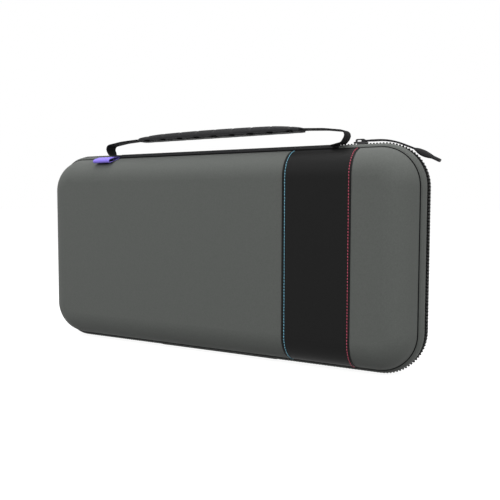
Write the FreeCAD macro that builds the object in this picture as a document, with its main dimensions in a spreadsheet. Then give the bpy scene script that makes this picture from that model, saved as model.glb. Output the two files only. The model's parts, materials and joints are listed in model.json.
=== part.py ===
"""Hard-shell carrying case for a handheld game console.

Two moulded half shells meet at a zip that runs round the rim and are joined by a fabric
spine under the case. The front half is the lid: it carries the contrast band with its two
stitch lines, the webbing handle with its ribbed grip, the ribbon tag, a mesh pocket and a
flap of card pockets. The rear half holds the moulded tray and its hold-down strap.

X runs along the case, Y from front to back and Z up. The origin is on the surface that the
case stands on, under the middle of the spine, with the parting plane of the zip at Y = 0.
The bodies are drawn round the middle of the case and then lifted by half its height.
"""
import FreeCAD, Part
import math
import os

import Sketcher
from FreeCAD import Placement, Rotation, Vector
from types import SimpleNamespace

# Driving dimensions, in millimetres and degrees
SIZES = {
    # the case as a whole
    "case_length": 300.0,
    "case_height": 142.5,
    "case_depth": 46.3,
    "corner_radius": 27.2,
    "zip_gap": 6.0,
    "teeth_proud": 0.8,
    # section of the moulded half shell
    "wall": 3.0,
    "rim_depth": 5.75,
    "rim_wall": 4.2,
    "rim_flat": 1.2,
    "rim_lip_inset": 2.6,
    "rim_lip_back": 0.65,
    "crease_inset": 2.95,
    "crease_groove": 0.5,
    "foot_flare": 0.4,
    "foot_rise": 1.6,
    "edge_radius": 17.83,
    "edge_reach": 17.5,
    "inner_shoulder": 10.0,
    # zip
    "tape_thickness": 0.7,
    "tape_inset": 1.2,
    "row_slot": 1.2,
    "row_width": 1.7,
    "spine_length": 100.0,
    "spine_front_reach": 2.8,
    "spine_rear_reach": 6.9,
    "spine_end_play": 0.5,
    # slider and pull
    "slider_end_gap": 16.4,
    "slider_length": 8.0,
    "slider_width": 6.4,
    "slider_nose": 3.52,
    "slider_shoulder": 1.6,
    "slider_play": 0.25,
    "slider_plate": 0.8,
    "slider_skirt": 0.6,
    "skirt_start": 1.2,
    "tongue_width": 5.0,
    "tongue_length": 7.2,
    "post_width": 0.8,
    "post_front": 2.4,
    "post_back": 0.8,
    "bail_width": 1.8,
    "bail_height": 1.95,
    "bail_wall": 0.75,
    "bail_length": 6.2,
    "bail_bend": 1.2,
    "pull_bar": 1.0,
    "pull_prong": 0.9,
    "pull_side_play": 0.2,
    "pull_eye": 5.6,
    "neck_thickness": 0.96,
    "neck_bend": 41.0,
    "neck_level": 18.4,
    "neck_reach": 33.0,
    "neck_drop": 6.15,
    "pull_reach": 48.5,
    "pull_drop": 13.9,
    "pull_grip_width": 4.4,
    "pull_grip_hump": 4.0,
    "pull_grip_tail": 2.1,
    "pull_grip_round": 0.5,
    # contrast band and stitching
    "band_left": 62.8,
    "band_width": 46.8,
    "band_proud": 0.3,
    "band_sink": 0.6,
    "band_play": 0.05,
    "band_start": 0.4,
    "stitch_inset": 2.1,
    "stitch_pitch": 3.0,
    "stitch_length": 2.0,
    "stitch_width": 0.55,
    "stitch_height": 0.35,
    # handle
    "handle_offset": 3.0,
    "handle_back": 7.4,
    "handle_tilt": 0.005,
    "strap_start": 87.5,
    "strap_start_rise": -1.1,
    "strap_foot": 95.2,
    "strap_foot_rise": 0.5,
    "strap_corner": 99.5,
    "strap_corner_rise": 7.5,
    "strap_knee": 83.0,
    "strap_knee_rise": 9.75,
    "strap_rise": 10.5,
    "strap_lead": 3.0,
    "strap_width": 10.0,
    "strap_thickness": 0.85,
    "strap_foot_bend": 2.6,
    "strap_bend": 3.0,
    "strap_knee_bend": 60.0,
    "strap_play": 0.15,
    "base_thickness": 0.35,
    "base_left": -86.0,
    "base_length": 180.6,
    "grip_length": 132.0,
    "grip_width": 12.4,
    "grip_sole": 1.45,
    "grip_height": 4.4,
    "grip_bow": 0.55,
    "grip_bevel": 1.1,
    "grip_taper": 20.0,
    "grip_end_rise": 1.2,
    "grip_taper_bow": 0.25,
    "grip_slot_play": 0.1,
    "notch_pitch": 14.6,
    "notch_shift": 1.2,
    "notch_radius": 1.6,
    "notch_depth": 0.55,
    "seam_depth": 0.4,
    "seam_drop": 0.3,
    # ribbon tag
    "tag_left": -100.5,
    "tag_width": 16.0,
    "tag_ply": 0.45,
    "tag_reach": 12.5,
    "tag_droop": 4.5,
    "tag_opening": 2.7,
    "tag_fold_reach": 12.125,
    "tag_bend_reach": 5.875,
    "tag_bend_rise": 0.36,
    "tag_ply_gap": 0.675,
    "tag_fold_round": 1.1,
    "tag_upper_bend": 10.0,
    "tag_seat": 0.405,
    # tray in the rear half
    "console_length": 274.0,
    "console_height": 118.0,
    "console_corner": 14.0,
    "tray_depth": 13.0,
    "tray_wall": 2.0,
    "tray_play": 0.4,
    "tray_top": 3.6,
    "tray_floor_bevel": 5.0,
    "scallop_radius": 13.0,
    "scallop_reach": 3.0,
    "scallop_depth": 4.8,
    "holder_width": 25.0,
    "holder_thickness": 1.0,
    "holder_margin": 3.0,
    # pockets in the lid
    "flap_length": 236.0,
    "flap_height": 104.0,
    "flap_thickness": 3.0,
    "flap_front": 4.2,
    "flap_corner": 10.0,
    "flap_tape": 1.0,
    "card_row_length": 216.0,
    "card_row_height": 30.0,
    "card_row_thickness": 1.2,
    "card_row_spacing": 44.0,
    "card_pitch": 43.2,
    "card_notch": 9.0,
    "mesh_length": 232.0,
    "mesh_height": 84.0,
    "mesh_depth": 3.2,
    "mesh_wall": 0.9,
    "mesh_low": -46.0,
    "binding_height": 8.0,
    "binding_thickness": 1.5,
}
BULGE_RUNS = 3
CARD_POCKETS = 5
CARD_ROWS = 2
GRIP_NOTCHES = 9

s = SimpleNamespace(**SIZES)

doc = FreeCAD.newDocument("console_case")
sheet = doc.addObject("Spreadsheet::Sheet", "Sizes")
for row, (word, value) in enumerate(SIZES.items(), start=1):
    sheet.set("A%d" % row, word)
    sheet.set("B%d" % row, str(value))
    sheet.setAlias("B%d" % row, word)
doc.recompute()

# Places worked out from the driving dimensions
half_length = s.case_length / 2
half_height = s.case_height / 2
half_depth = s.case_depth / 2
half_gap = s.zip_gap / 2
middle = s.teeth_proud + half_height
crease_y = -(half_gap + s.rim_depth)
face_inset = s.crease_inset + s.edge_reach
arc_y = s.edge_radius - half_depth
LIFT = "Sizes.teeth_proud + Sizes.case_height / 2"
BACK_TURN = Rotation(Vector(0, 0, 1), 180)
slider_x = half_length - s.corner_radius - s.slider_end_gap
SLIDER_X = "(Sizes.case_length / 2 - Sizes.corner_radius - Sizes.slider_end_gap)"
NEAR = 0.001
STRAIGHT = 0.99

built = []


def place(item, turned=False):
    """Lifts a piece to its height; a rear piece is the front one turned about the upright axis."""
    item.Placement = Placement(Vector(0, 0, middle), BACK_TURN if turned else Rotation())
    item.setExpression("Placement.Base.z", LIFT)
    built.append(item)


def new_body(label, turned=False):
    """An empty body with its own label, standing at the middle of the case."""
    body = doc.addObject("PartDesign::Body", label)
    body.Label = label
    place(body, turned)
    return body


def sketch_on(body, role, name, offset=None):
    """A sketch on one of the body's origin planes, moved along its normal by an expression."""
    sketch = body.newObject("Sketcher::SketchObject", name)
    plane = [item for item in body.Origin.OriginFeatures if item.Role == role][0]
    sketch.AttachmentSupport = [(plane, "")]
    sketch.MapMode = "FlatFace"
    if offset:
        sketch.setExpression("AttachmentOffset.Base.z", offset)
    return sketch


def bound_rectangle(sketch, left, right, low, high):
    """A rectangle whose four sides follow expressions of the sheet."""
    corners = [(-1, -1), (1, -1), (1, 1), (-1, 1)]
    lines = []
    for index in range(4):
        start = Vector(*corners[index], 0)
        end = Vector(*corners[(index + 1) % 4], 0)
        lines.append(sketch.addGeometry(Part.LineSegment(start, end), False))
    for index in range(4):
        sketch.addConstraint(
            Sketcher.Constraint("Coincident", lines[index], 2, lines[(index + 1) % 4], 1)
        )
    for index, kind in ((0, "Horizontal"), (1, "Vertical"), (2, "Horizontal"), (3, "Vertical")):
        sketch.addConstraint(Sketcher.Constraint(kind, lines[index]))
    wanted = (("DistanceX", 0, -1, left), ("DistanceY", 0, -1, low))
    wanted += (("DistanceX", 2, 1, right), ("DistanceY", 2, 1, high))
    for kind, line, start, expression in wanted:
        number = sketch.addConstraint(
            Sketcher.Constraint(kind, -1, 1, lines[line], 1, float(start))
        )
        sketch.setExpression("Constraints[%d]" % number, expression)


def rounded_rectangle(half_x, half_y, radius, centre=(0.0, 0.0)):
    """Four lines and four quarter arcs, starting half way up the right side."""
    inner_x = half_x - radius
    inner_y = half_y - radius

    def at(x, y):
        return Vector(centre[0] + x, centre[1] + y, 0)

    edges = [Part.LineSegment(at(half_x, 0), at(half_x, inner_y))]
    turns = ((1, 1), (-1, 1), (-1, -1), (1, -1))
    ends = (
        (at(inner_x, half_y), at(-inner_x, half_y)),
        (at(-half_x, inner_y), at(-half_x, -inner_y)),
        (at(-inner_x, -half_y), at(inner_x, -half_y)),
        (at(half_x, -inner_y), at(half_x, 0)),
    )
    for quarter, (side_x, side_y) in enumerate(turns):
        circle = Part.Circle(at(side_x * inner_x, side_y * inner_y), Vector(0, 0, 1), radius)
        start = quarter * math.pi / 2
        edges.append(Part.ArcOfCircle(circle, start, start + math.pi / 2))
        edges.append(Part.LineSegment(*ends[quarter]))
    return edges


def chain(points):
    """Straight runs through a closed list of points."""
    ring = [Vector(x, y, 0) for x, y in points]
    return [
        Part.LineSegment(ring[index], ring[(index + 1) % len(ring)])
        for index in range(len(ring))
    ]


def rounded_run(points, radii, offset=0.0):
    """An open line through the points with tangent arcs at its inner corners, moved
    sideways by offset (to the left of the way that it runs)."""
    path = [Vector(x, y, 0) for x, y in points]
    ways = [(path[i + 1] - path[i]).normalize() for i in range(len(path) - 1)]
    sides = [Vector(-way.y, way.x, 0) for way in ways]
    moved = [path[0] + sides[0] * offset]
    for index in range(1, len(path) - 1):
        bisector = (sides[index - 1] + sides[index]).normalize()
        stretch = offset / bisector.dot(sides[index])
        moved.append(path[index] + bisector * stretch)
    moved.append(path[-1] + sides[-1] * offset)
    edges = []
    here = moved[0]
    for index in range(1, len(moved) - 1):
        before = ways[index - 1]
        after = ways[index]
        bend = before.cross(after).z
        radius = radii[index - 1] - offset * math.copysign(1, bend)
        half_turn = before.getAngle(after) / 2
        back = radius * math.tan(half_turn)
        enter = moved[index] - before * back
        leave = moved[index] + after * back
        inward = (after - before).normalize()
        centre = moved[index] + inward * (radius / math.cos(half_turn))
        edges.append(Part.LineSegment(here, enter))
        edges.append(Part.Arc(enter, centre - inward * radius, leave))
        here = leave
    edges.append(Part.LineSegment(here, moved[-1]))
    return edges


def strip_outline(points, radii, thickness):
    """The closed outline of a strip of even thickness along a rounded run."""
    left = rounded_run(points, radii, thickness / 2)
    right = rounded_run(points, radii, -thickness / 2)
    caps = [
        Part.LineSegment(left[0].StartPoint, right[0].StartPoint),
        Part.LineSegment(left[-1].EndPoint, right[-1].EndPoint),
    ]
    return left + right + caps


def pad(body, sketch, length, name="Pad", both_ways=False):
    """A pad whose length follows an expression."""
    feature = body.newObject("PartDesign::Pad", name)
    feature.Profile = sketch
    feature.Midplane = both_ways
    feature.setExpression("Length", length)
    return feature


def pocket(body, sketch, length, name="Pocket", both_ways=False, onward=False):
    """A pocket whose length follows an expression; onward cuts along the sketch's normal."""
    feature = body.newObject("PartDesign::Pocket", name)
    feature.Profile = sketch
    feature.Midplane = both_ways
    feature.Reversed = onward
    feature.setExpression("Length", length)
    return feature


def sweep(body, profile, spine, name="Sweep", cut=False):
    """A profile carried along a spine of straight runs and arcs."""
    kind = "PartDesign::SubtractivePipe" if cut else "PartDesign::AdditivePipe"
    feature = body.newObject(kind, name)
    feature.Profile = profile
    feature.Spine = (spine, [])
    return feature


def edges_where(feature, test):
    """Names of the feature's edges that pass a test."""
    edges = enumerate(feature.Shape.Edges, start=1)
    return ["Edge%d" % number for number, edge in edges if test(edge)]


def round_edges(body, feature, names, radius, label="Fillet"):
    """Fillets with a radius that follows an expression."""
    fillet = body.newObject("PartDesign::Fillet", label)
    fillet.Base = (feature, names)
    fillet.setExpression("Radius", radius)
    return fillet


def bevel_edges(body, feature, names, size, label="Chamfer"):
    """Bevels with a size that follows an expression."""
    bevel = body.newObject("PartDesign::Chamfer", label)
    bevel.Base = (feature, names)
    bevel.setExpression("Size", size)
    return bevel


# Moulded half shells
def on_edge_arc(radius, y):
    """Inset from the rim's outer line of the rounded edge, at one depth."""
    return math.sqrt(radius ** 2 - (y - arc_y) ** 2) - face_inset


def rim_bulge():
    """Radius of the rim's bulge and the angle that it spans down to its lip."""
    drop = s.rim_depth - s.rim_flat - s.rim_lip_back
    radius = (s.rim_lip_inset ** 2 + drop ** 2) / (2 * s.rim_lip_inset)
    return radius, math.asin(drop / radius)


def shell_section():
    """Section of the shell's edge, with X outward from the rim's outer line and Y forward:
    rim edge, bulged rim, stitched crease, flared foot, rounded edge and the wall inside."""
    radius, lean = rim_bulge()
    rim_y = -(half_gap + s.rim_flat)
    bulge_line = []
    for index in range(BULGE_RUNS + 1):
        turn = lean * index / BULGE_RUNS
        bulge_line.append((radius * (math.cos(turn) - 1), rim_y - radius * math.sin(turn)))
    lip = bulge_line[-1]
    groove = (-s.crease_inset - s.crease_groove, (lip[1] + crease_y) / 2 - s.crease_groove / 4)
    foot_y = crease_y - s.crease_groove / 2
    foot = (on_edge_arc(s.edge_radius, foot_y) + s.foot_flare, foot_y)
    rise_y = crease_y - s.foot_rise
    rise = (on_edge_arc(s.edge_radius, rise_y), rise_y)
    turn = math.asin((arc_y - rise_y) / s.edge_radius)
    half_way = (turn + math.pi / 2) / 2
    edge_middle = (
        s.edge_radius * math.cos(half_way) - face_inset,
        arc_y - s.edge_radius * math.sin(half_way),
    )
    face = (-face_inset, -half_depth)
    inner_face = (-face_inset, s.wall - half_depth)
    inner_radius = s.edge_radius - s.wall
    shoulder = (on_edge_arc(inner_radius, -s.inner_shoulder), -s.inner_shoulder)
    inner_turn = math.asin((arc_y + s.inner_shoulder) / inner_radius)
    inner_way = (inner_turn + math.pi / 2) / 2
    inner_knee = (
        inner_radius * math.cos(inner_way) - face_inset,
        arc_y - inner_radius * math.sin(inner_way),
    )

    def at(point):
        return Vector(half_length + point[0], point[1], 0)

    straight = [
        [(-s.rim_wall, -half_gap), (0, -half_gap)],
        [(0, -half_gap), (0, rim_y)],
        [lip, groove],
        [groove, foot],
        [foot, rise],
        [face, inner_face],
        [inner_face, inner_knee],
        [inner_knee, shoulder],
        [shoulder, (-s.rim_wall, shoulder[1] + (-s.rim_wall - shoulder[0]))],
        [(-s.rim_wall, shoulder[1] + (-s.rim_wall - shoulder[0])), (-s.rim_wall, -half_gap)],
    ]
    straight += [bulge_line[index : index + 2] for index in range(BULGE_RUNS)]
    edges = [Part.LineSegment(at(start), at(end)) for start, end in straight]
    edges.append(Part.Arc(at(rise), at(edge_middle), at(face)))
    return edges


def moulded_shell(label, turned=False):
    """Half shell: the section carried round the rim, closed by the flat face."""
    body = new_body(label, turned)
    rim_line = sketch_on(body, "XZ_Plane", label + "_rim_line")
    rim_line.addGeometry(rounded_rectangle(half_length, half_height, s.corner_radius), False)
    section = sketch_on(body, "XY_Plane", label + "_section")
    section.addGeometry(shell_section(), False)
    sweep(body, section, rim_line, label + "_edge")
    panel = sketch_on(body, "XZ_Plane", label + "_panel", "Sizes.case_depth / 2 - Sizes.wall")
    panel.addGeometry(
        rounded_rectangle(
            half_length - face_inset, half_height - face_inset, s.corner_radius - face_inset
        ),
        False,
    )
    pad(body, panel, "Sizes.wall", label + "_face")
    return body


# Contrast band round the front shell
band_start_y = crease_y - s.band_start
band_angle = math.asin((arc_y - band_start_y) / s.edge_radius)
arc_z = half_height - face_inset


def wrap_point(radius, angle, side):
    """Point of the wrapped band's section; the angle is measured from straight up."""
    return Vector(arc_y - radius * math.sin(angle), side * (arc_z + radius * math.cos(angle)), 0)


def wrap_outline(outside, inside):
    """Section of a strip that follows the shell from crease to crease over its face."""
    edges = []
    for radius in (s.edge_radius + outside, s.edge_radius - inside):
        tangent = math.pi / 2
        half_way = (band_angle + tangent) / 2
        for side in (1, -1):
            start = wrap_point(radius, band_angle, side)
            middle_point = wrap_point(radius, half_way, side)
            edges.append(Part.Arc(start, middle_point, wrap_point(radius, tangent, side)))
        edges.append(
            Part.LineSegment(wrap_point(radius, tangent, 1), wrap_point(radius, tangent, -1))
        )
    for side in (1, -1):
        outer_end = wrap_point(s.edge_radius + outside, band_angle, side)
        inner_end = wrap_point(s.edge_radius - inside, band_angle, side)
        edges.append(Part.LineSegment(outer_end, inner_end))
    return edges


def front_shell():
    """Front half with the shallow recess that the band lies in."""
    body = moulded_shell("front_shell")
    doc.recompute()
    whole = body.Shape.Volume
    recess = sketch_on(body, "YZ_Plane", "band_recess", "Sizes.band_left - Sizes.band_play")
    recess.addGeometry(wrap_outline(s.wall, s.band_sink), False)
    pocket(body, recess, "Sizes.band_width + 2 * Sizes.band_play", "recess", onward=True)
    doc.recompute()
    if body.Shape.Volume >= whole:
        raise RuntimeError("the band's recess cuts nothing")
    return body


def centre_band():
    """Contrast band let into the front shell."""
    body = new_body("centre_band")
    outline = sketch_on(body, "YZ_Plane", "band_outline", "Sizes.band_left")
    outline.addGeometry(wrap_outline(s.band_proud, s.band_sink - s.band_play), False)
    pad(body, outline, "Sizes.band_width", "band_strip")
    return body


def stitching(label, x):
    """A row of saddle stitches along the band, each a short ridge lying on its surface."""
    radius = s.edge_radius + s.band_proud
    arc_length = radius * (math.pi / 2 - band_angle)
    face_length = 2 * arc_z
    total = 2 * arc_length + face_length
    count = int(total / s.stitch_pitch)
    spare = (total - count * s.stitch_pitch) / 2
    ends = ((-s.stitch_width / 2, 0), (s.stitch_width / 2, 0), (0, s.stitch_height))
    corners = [Vector(across, -s.stitch_length / 2, rise) for across, rise in ends]
    profile = Part.Face(Part.makePolygon(corners + corners[:1]))
    stitch = profile.extrude(Vector(0, s.stitch_length, 0))
    bars = []
    for index in range(count):
        along = spare + (index + 0.5) * s.stitch_pitch
        if along < arc_length:
            angle = band_angle + along / radius
            y = arc_y - radius * math.sin(angle)
            z = arc_z + radius * math.cos(angle)
        elif along > arc_length + face_length:
            angle = math.pi / 2 + (along - arc_length - face_length) / radius
            y = arc_y - radius * math.sin(angle)
            z = radius * math.cos(angle) - arc_z
        else:
            angle = math.pi / 2
            y = arc_y - radius
            z = arc_z - (along - arc_length)
        bar = stitch.copy()
        bar.Placement = Placement(
            Vector(x, y, z), Rotation(Vector(1, 0, 0), math.degrees(angle))
        )
        bars.append(bar)
    item = doc.addObject("Part::Feature", label)
    item.Label = label
    item.Shape = Part.makeCompound(bars)
    place(item)


# Zip and spine
def zip_line(body, name, inset):
    """The way that the zip runs: from one end of the spine round the case to the other."""
    line = sketch_on(body, "XZ_Plane", name)
    reach_x = half_length - inset
    reach_z = half_height - inset
    ring = rounded_rectangle(reach_x, reach_z, s.corner_radius - inset)
    start = Part.LineSegment(
        Vector(s.spine_length / 2, -reach_z, 0),
        Vector(half_length - s.corner_radius, -reach_z, 0),
    )
    end = Part.LineSegment(
        Vector(s.corner_radius - half_length, -reach_z, 0),
        Vector(-s.spine_length / 2, -reach_z, 0),
    )
    line.addGeometry([start, ring[7], ring[8]] + ring[0:6] + [end], False)
    return line


def zip_tape(label, turned=False):
    """Woven tape, sewn to the rim along one edge and carrying the teeth on the other."""
    body = new_body(label, turned)
    line = zip_line(body, label + "_line", s.tape_inset)
    section = sketch_on(body, "YZ_Plane", label + "_section", "Sizes.spine_length / 2")
    bound_rectangle(
        section,
        "-Sizes.zip_gap / 2",
        "-Sizes.row_slot / 2",
        "Sizes.tape_inset - Sizes.case_height / 2",
        "Sizes.tape_inset + Sizes.tape_thickness - Sizes.case_height / 2",
    )
    sweep(body, section, line, label + "_strip")


def zip_row(label, turned=False):
    """Row of zip teeth as one moulded bead along the tape's edge."""
    body = new_body(label, turned)
    line = zip_line(body, label + "_line", 0.0)
    section = sketch_on(body, "YZ_Plane", label + "_section", "Sizes.spine_length / 2")
    low = -half_height - s.teeth_proud
    high = s.tape_inset - half_height
    inner = -s.row_slot / 2
    outer = inner - s.row_width
    section.addGeometry(
        chain([(inner, high), (inner, low), (outer, low), (outer, high)]), False
    )
    sweep(body, section, line, label + "_bead")


def spine_strip():
    """Fabric spine under the case: it joins the two rims and is what the case stands on."""
    body = new_body("spine_strip")
    outline = sketch_on(
        body, "XY_Plane", "spine_outline", "-(Sizes.case_height / 2 + Sizes.teeth_proud)"
    )
    half = "(Sizes.spine_length / 2 - Sizes.spine_end_play)"
    bound_rectangle(
        outline, "-" + half, half, "-Sizes.spine_front_reach", "Sizes.spine_rear_reach"
    )
    pad(body, outline, "Sizes.teeth_proud", "spine_web")


# Slider and pull, drawn on the straight top run of the zip
plate_low = half_height + s.teeth_proud + s.slider_play
plate_high = plate_low + s.slider_plate
bail_top = plate_high + s.bail_height
bail_hole_top = bail_top - s.bail_wall
pivot_x = slider_x + s.bail_length / 2 - s.bail_wall - s.pull_bar / 2 - s.slider_play
pivot_z = (plate_high + bail_hole_top) / 2


def zip_slider():
    """Cast slider: top plate with skirts over the teeth, tongue under the tape, the post
    between the two rows, and the bail on top."""
    body = new_body("zip_slider")
    top = "Sizes.case_height / 2 + Sizes.teeth_proud + Sizes.slider_play"
    plate = sketch_on(body, "XY_Plane", "slider_plate_outline", top)
    half_l = s.slider_length / 2
    half_w = s.slider_width / 2
    nose = s.slider_nose / 2
    plate.addGeometry(
        chain(
            [
                (slider_x - half_l, -nose),
                (slider_x - s.slider_shoulder, -half_w),
                (slider_x + half_l, -half_w),
                (slider_x + half_l, half_w),
                (slider_x - s.slider_shoulder, half_w),
                (slider_x - half_l, nose),
            ]
        ),
        False,
    )
    pad(body, plate, "Sizes.slider_plate", "slider_top")
    for word, side in (("front", "-1"), ("rear", "1")):
        skirt = sketch_on(body, "XY_Plane", "skirt_" + word, top)
        outer = side + " * Sizes.slider_width / 2"
        inner = side + " * (Sizes.slider_width / 2 - Sizes.slider_skirt)"
        low, high = (outer, inner) if word == "front" else (inner, outer)
        bound_rectangle(
            skirt,
            SLIDER_X + " - Sizes.skirt_start",
            SLIDER_X + " + Sizes.slider_length / 2",
            low,
            high,
        )
        skirt_pad = pad(body, skirt, "Sizes.teeth_proud", "skirt_%s_wall" % word)
        skirt_pad.Reversed = True
    post = sketch_on(body, "XY_Plane", "post_outline", top)
    bound_rectangle(
        post,
        SLIDER_X + " - Sizes.post_front",
        SLIDER_X + " + Sizes.post_back",
        "-Sizes.post_width / 2",
        "Sizes.post_width / 2",
    )
    post_drop = "Sizes.teeth_proud + 2 * Sizes.slider_play + Sizes.tape_inset"
    post_drop += " + Sizes.tape_thickness"
    post_pad = pad(body, post, post_drop, "post")
    post_pad.Reversed = True
    tongue_top = "Sizes.case_height / 2 - Sizes.tape_inset - Sizes.tape_thickness"
    tongue_top += " - Sizes.slider_play"
    tongue = sketch_on(body, "XY_Plane", "tongue_outline", tongue_top)
    bound_rectangle(
        tongue,
        SLIDER_X + " - Sizes.tongue_length / 2",
        SLIDER_X + " + Sizes.tongue_length / 2",
        "-Sizes.tongue_width / 2",
        "Sizes.tongue_width / 2",
    )
    tongue_pad = pad(body, tongue, "Sizes.slider_plate", "tongue")
    tongue_pad.Reversed = True
    bail = sketch_on(body, "XZ_Plane", "bail_outline")
    reach = s.bail_length / 2
    bend = s.bail_bend
    outer = [
        (slider_x - reach, plate_high - s.slider_plate / 2),
        (slider_x - reach, bail_top),
        (slider_x + reach, bail_top),
        (slider_x + reach, plate_high - s.slider_plate / 2),
    ]
    hole_reach = reach - s.bail_wall
    hole = [
        (slider_x + hole_reach, plate_high - s.slider_plate / 2),
        (slider_x + hole_reach, bail_hole_top),
        (slider_x - hole_reach, bail_hole_top),
        (slider_x - hole_reach, plate_high - s.slider_plate / 2),
    ]
    edges = rounded_run(outer, [bend, bend])
    edges += rounded_run(hole, [bend - s.bail_wall, bend - s.bail_wall])
    edges.append(Part.LineSegment(Vector(*outer[-1], 0), Vector(*hole[0], 0)))
    edges.append(Part.LineSegment(Vector(*hole[-1], 0), Vector(*outer[0], 0)))
    bail.addGeometry(edges, False)
    pad(body, bail, "Sizes.bail_width", "bail", both_ways=True)


# The pull lies over the corner of the case: X and Z of its middle line, from the pivot
NECK_RUN = ((0, 0), (s.neck_level, 0), (s.neck_reach, -s.neck_drop))
GRIP_RUN_END = (s.pull_reach, -s.pull_drop)
# Outline of its moulded end: where the hump is highest and where it meets the tail, as
# shares of the length, and its height over and under the line, as a share of the hump's
HUMP_PEAK = 0.33
HUMP_END = 0.72
HUMP_OVER = 0.45
HUMP_UNDER = 0.55


def pull_points(run):
    """Places of the pull's line in the case."""
    return [(pivot_x + x, pivot_z + z) for x, z in run]


def pull_loop():
    """Flexible neck of the pull: an eye whose bar runs through the bail, and the strip
    that leads to the moulded end."""
    body = new_body("pull_loop")
    prong_low = s.bail_width / 2 + s.pull_side_play
    neck = sketch_on(body, "XZ_Plane", "neck_outline")
    neck_line = strip_outline(pull_points(NECK_RUN), [s.neck_bend], s.neck_thickness)
    neck.addGeometry(neck_line, False)
    width = "Sizes.bail_width + 2 * Sizes.pull_side_play + 2 * Sizes.pull_prong"
    pad(body, neck, width, "neck", both_ways=True)
    doc.recompute()
    before = body.Shape.Volume
    eye = sketch_on(body, "XZ_Plane", "eye_outline")
    reach = s.neck_thickness * 3
    eye.addGeometry(
        chain(
            [
                (pivot_x - reach, pivot_z - reach),
                (pivot_x + s.pull_eye, pivot_z - reach),
                (pivot_x + s.pull_eye, pivot_z + reach),
                (pivot_x - reach, pivot_z + reach),
            ]
        ),
        False,
    )
    pocket(body, eye, "Sizes.bail_width + 2 * Sizes.pull_side_play", "eye", both_ways=True)
    doc.recompute()
    if body.Shape.Volume >= before:
        raise RuntimeError("the eye of the pull cuts nothing")
    bar = sketch_on(body, "XZ_Plane", "bar_outline")
    bar.addGeometry(
        Part.Circle(Vector(pivot_x, pivot_z, 0), Vector(0, 0, 1), s.pull_bar / 2), False
    )
    pad(body, bar, "2 * %s + 2 * Sizes.pull_prong" % prong_low, "bar", both_ways=True)


def pull_grip():
    """Moulded end of the pull: a raised hump where the fingers press and a thinner tail."""
    body = new_body("pull_grip")
    start = Vector(*pull_points([NECK_RUN[-1]])[0], 0)
    end = Vector(*pull_points([GRIP_RUN_END])[0], 0)
    along = (end - start).normalize()
    across = Vector(-along.y, along.x, 0)
    length = (end - start).Length

    def at(share, height):
        return start + along * (share * length) + across * height

    half_neck = s.neck_thickness / 2
    half_tail = s.pull_grip_tail / 2
    over = HUMP_OVER * s.pull_grip_hump
    under = HUMP_UNDER * s.pull_grip_hump
    sketch = sketch_on(body, "XZ_Plane", "pull_grip_outline")
    sketch.addGeometry(
        [
            Part.Arc(at(0, half_neck), at(HUMP_PEAK, over), at(HUMP_END, half_tail)),
            Part.LineSegment(at(HUMP_END, half_tail), at(1, half_tail)),
            Part.LineSegment(at(1, half_tail), at(1, -half_tail)),
            Part.LineSegment(at(1, -half_tail), at(HUMP_END, -half_tail)),
            Part.Arc(at(HUMP_END, -half_tail), at(HUMP_PEAK, -under), at(0, -half_neck)),
            Part.LineSegment(at(0, -half_neck), at(0, half_neck)),
        ],
        False,
    )
    block = pad(body, sketch, "Sizes.pull_grip_width", "pull_grip_block", both_ways=True)
    doc.recompute()
    tail = Vector(end.x, 0, end.y)
    tail_edges = edges_where(
        block,
        lambda edge: (edge.CenterOfMass - tail).Length < s.pull_grip_tail
        and abs(edge.tangentAt(edge.FirstParameter).y) > STRAIGHT,
    )
    round_edges(body, block, tail_edges, "Sizes.pull_grip_round", "pull_grip_tail_round")


# What is sewn over the crease of the front shell
def rim_cover(height):
    """Corners of a line that lies over the bulged rim at an even height, in Y and Z."""
    radius, lean = rim_bulge()
    rim_y = -(half_gap + s.rim_flat)
    corners = []
    for index in range(BULGE_RUNS + 1):
        turn = lean * index / BULGE_RUNS
        y = rim_y - (radius + height) * math.sin(turn)
        z = half_height - radius + (radius + height) * math.cos(turn)
        corners.append((y, z))
    return corners


def handle_base():
    """Flat webbing sewn over the rim between the feet of the handle."""
    body = new_body("handle_base")
    outline = sketch_on(body, "YZ_Plane", "base_outline", "Sizes.base_left")
    ring = rim_cover(s.base_thickness) + rim_cover(0.0)[::-1]
    outline.addGeometry(chain(ring), False)
    pad(body, outline, "Sizes.base_length", "base_strip")


def handle_at(x, rise):
    """Place on the handle: X from its middle, and height over the rim, slightly tilted."""
    return (s.handle_offset + x, half_height + rise + s.handle_tilt * x)


def strap_run():
    """Middle line of the webbing in X and Z, from the right foot over to the left one."""
    side = (
        (s.strap_start, s.strap_start_rise),
        (s.strap_foot, s.strap_foot_rise),
        (s.strap_corner, s.strap_corner_rise),
        (s.strap_knee, s.strap_knee_rise),
        (s.grip_length / 2 + s.strap_lead, s.strap_rise),
    )
    right = [handle_at(x, rise) for x, rise in side]
    left = [handle_at(-x, rise) for x, rise in reversed(side)]
    return right + left


def handle_strap():
    """Webbing loop through the grip; its feet lie down on the strip over the rim."""
    body = new_body("handle_strap")
    outline = sketch_on(body, "XZ_Plane", "strap_outline", "Sizes.handle_back")
    bends = (s.strap_foot_bend, s.strap_bend, s.strap_knee_bend, s.strap_knee_bend)
    outline.addGeometry(
        strip_outline(strap_run(), bends + bends[::-1], s.strap_thickness), False
    )
    pad(body, outline, "Sizes.strap_width", "strap_band", both_ways=True)
    doc.recompute()
    whole = body.Shape.Volume
    seat = sketch_on(body, "YZ_Plane", "strap_seat")
    seat.addGeometry(seat_profile(), False)
    pocket(body, seat, "2 * Sizes.case_length", "strap_seating", both_ways=True)
    doc.recompute()
    if body.Shape.Volume >= whole:
        raise RuntimeError("the feet of the handle are not cut to their seat")


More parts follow.
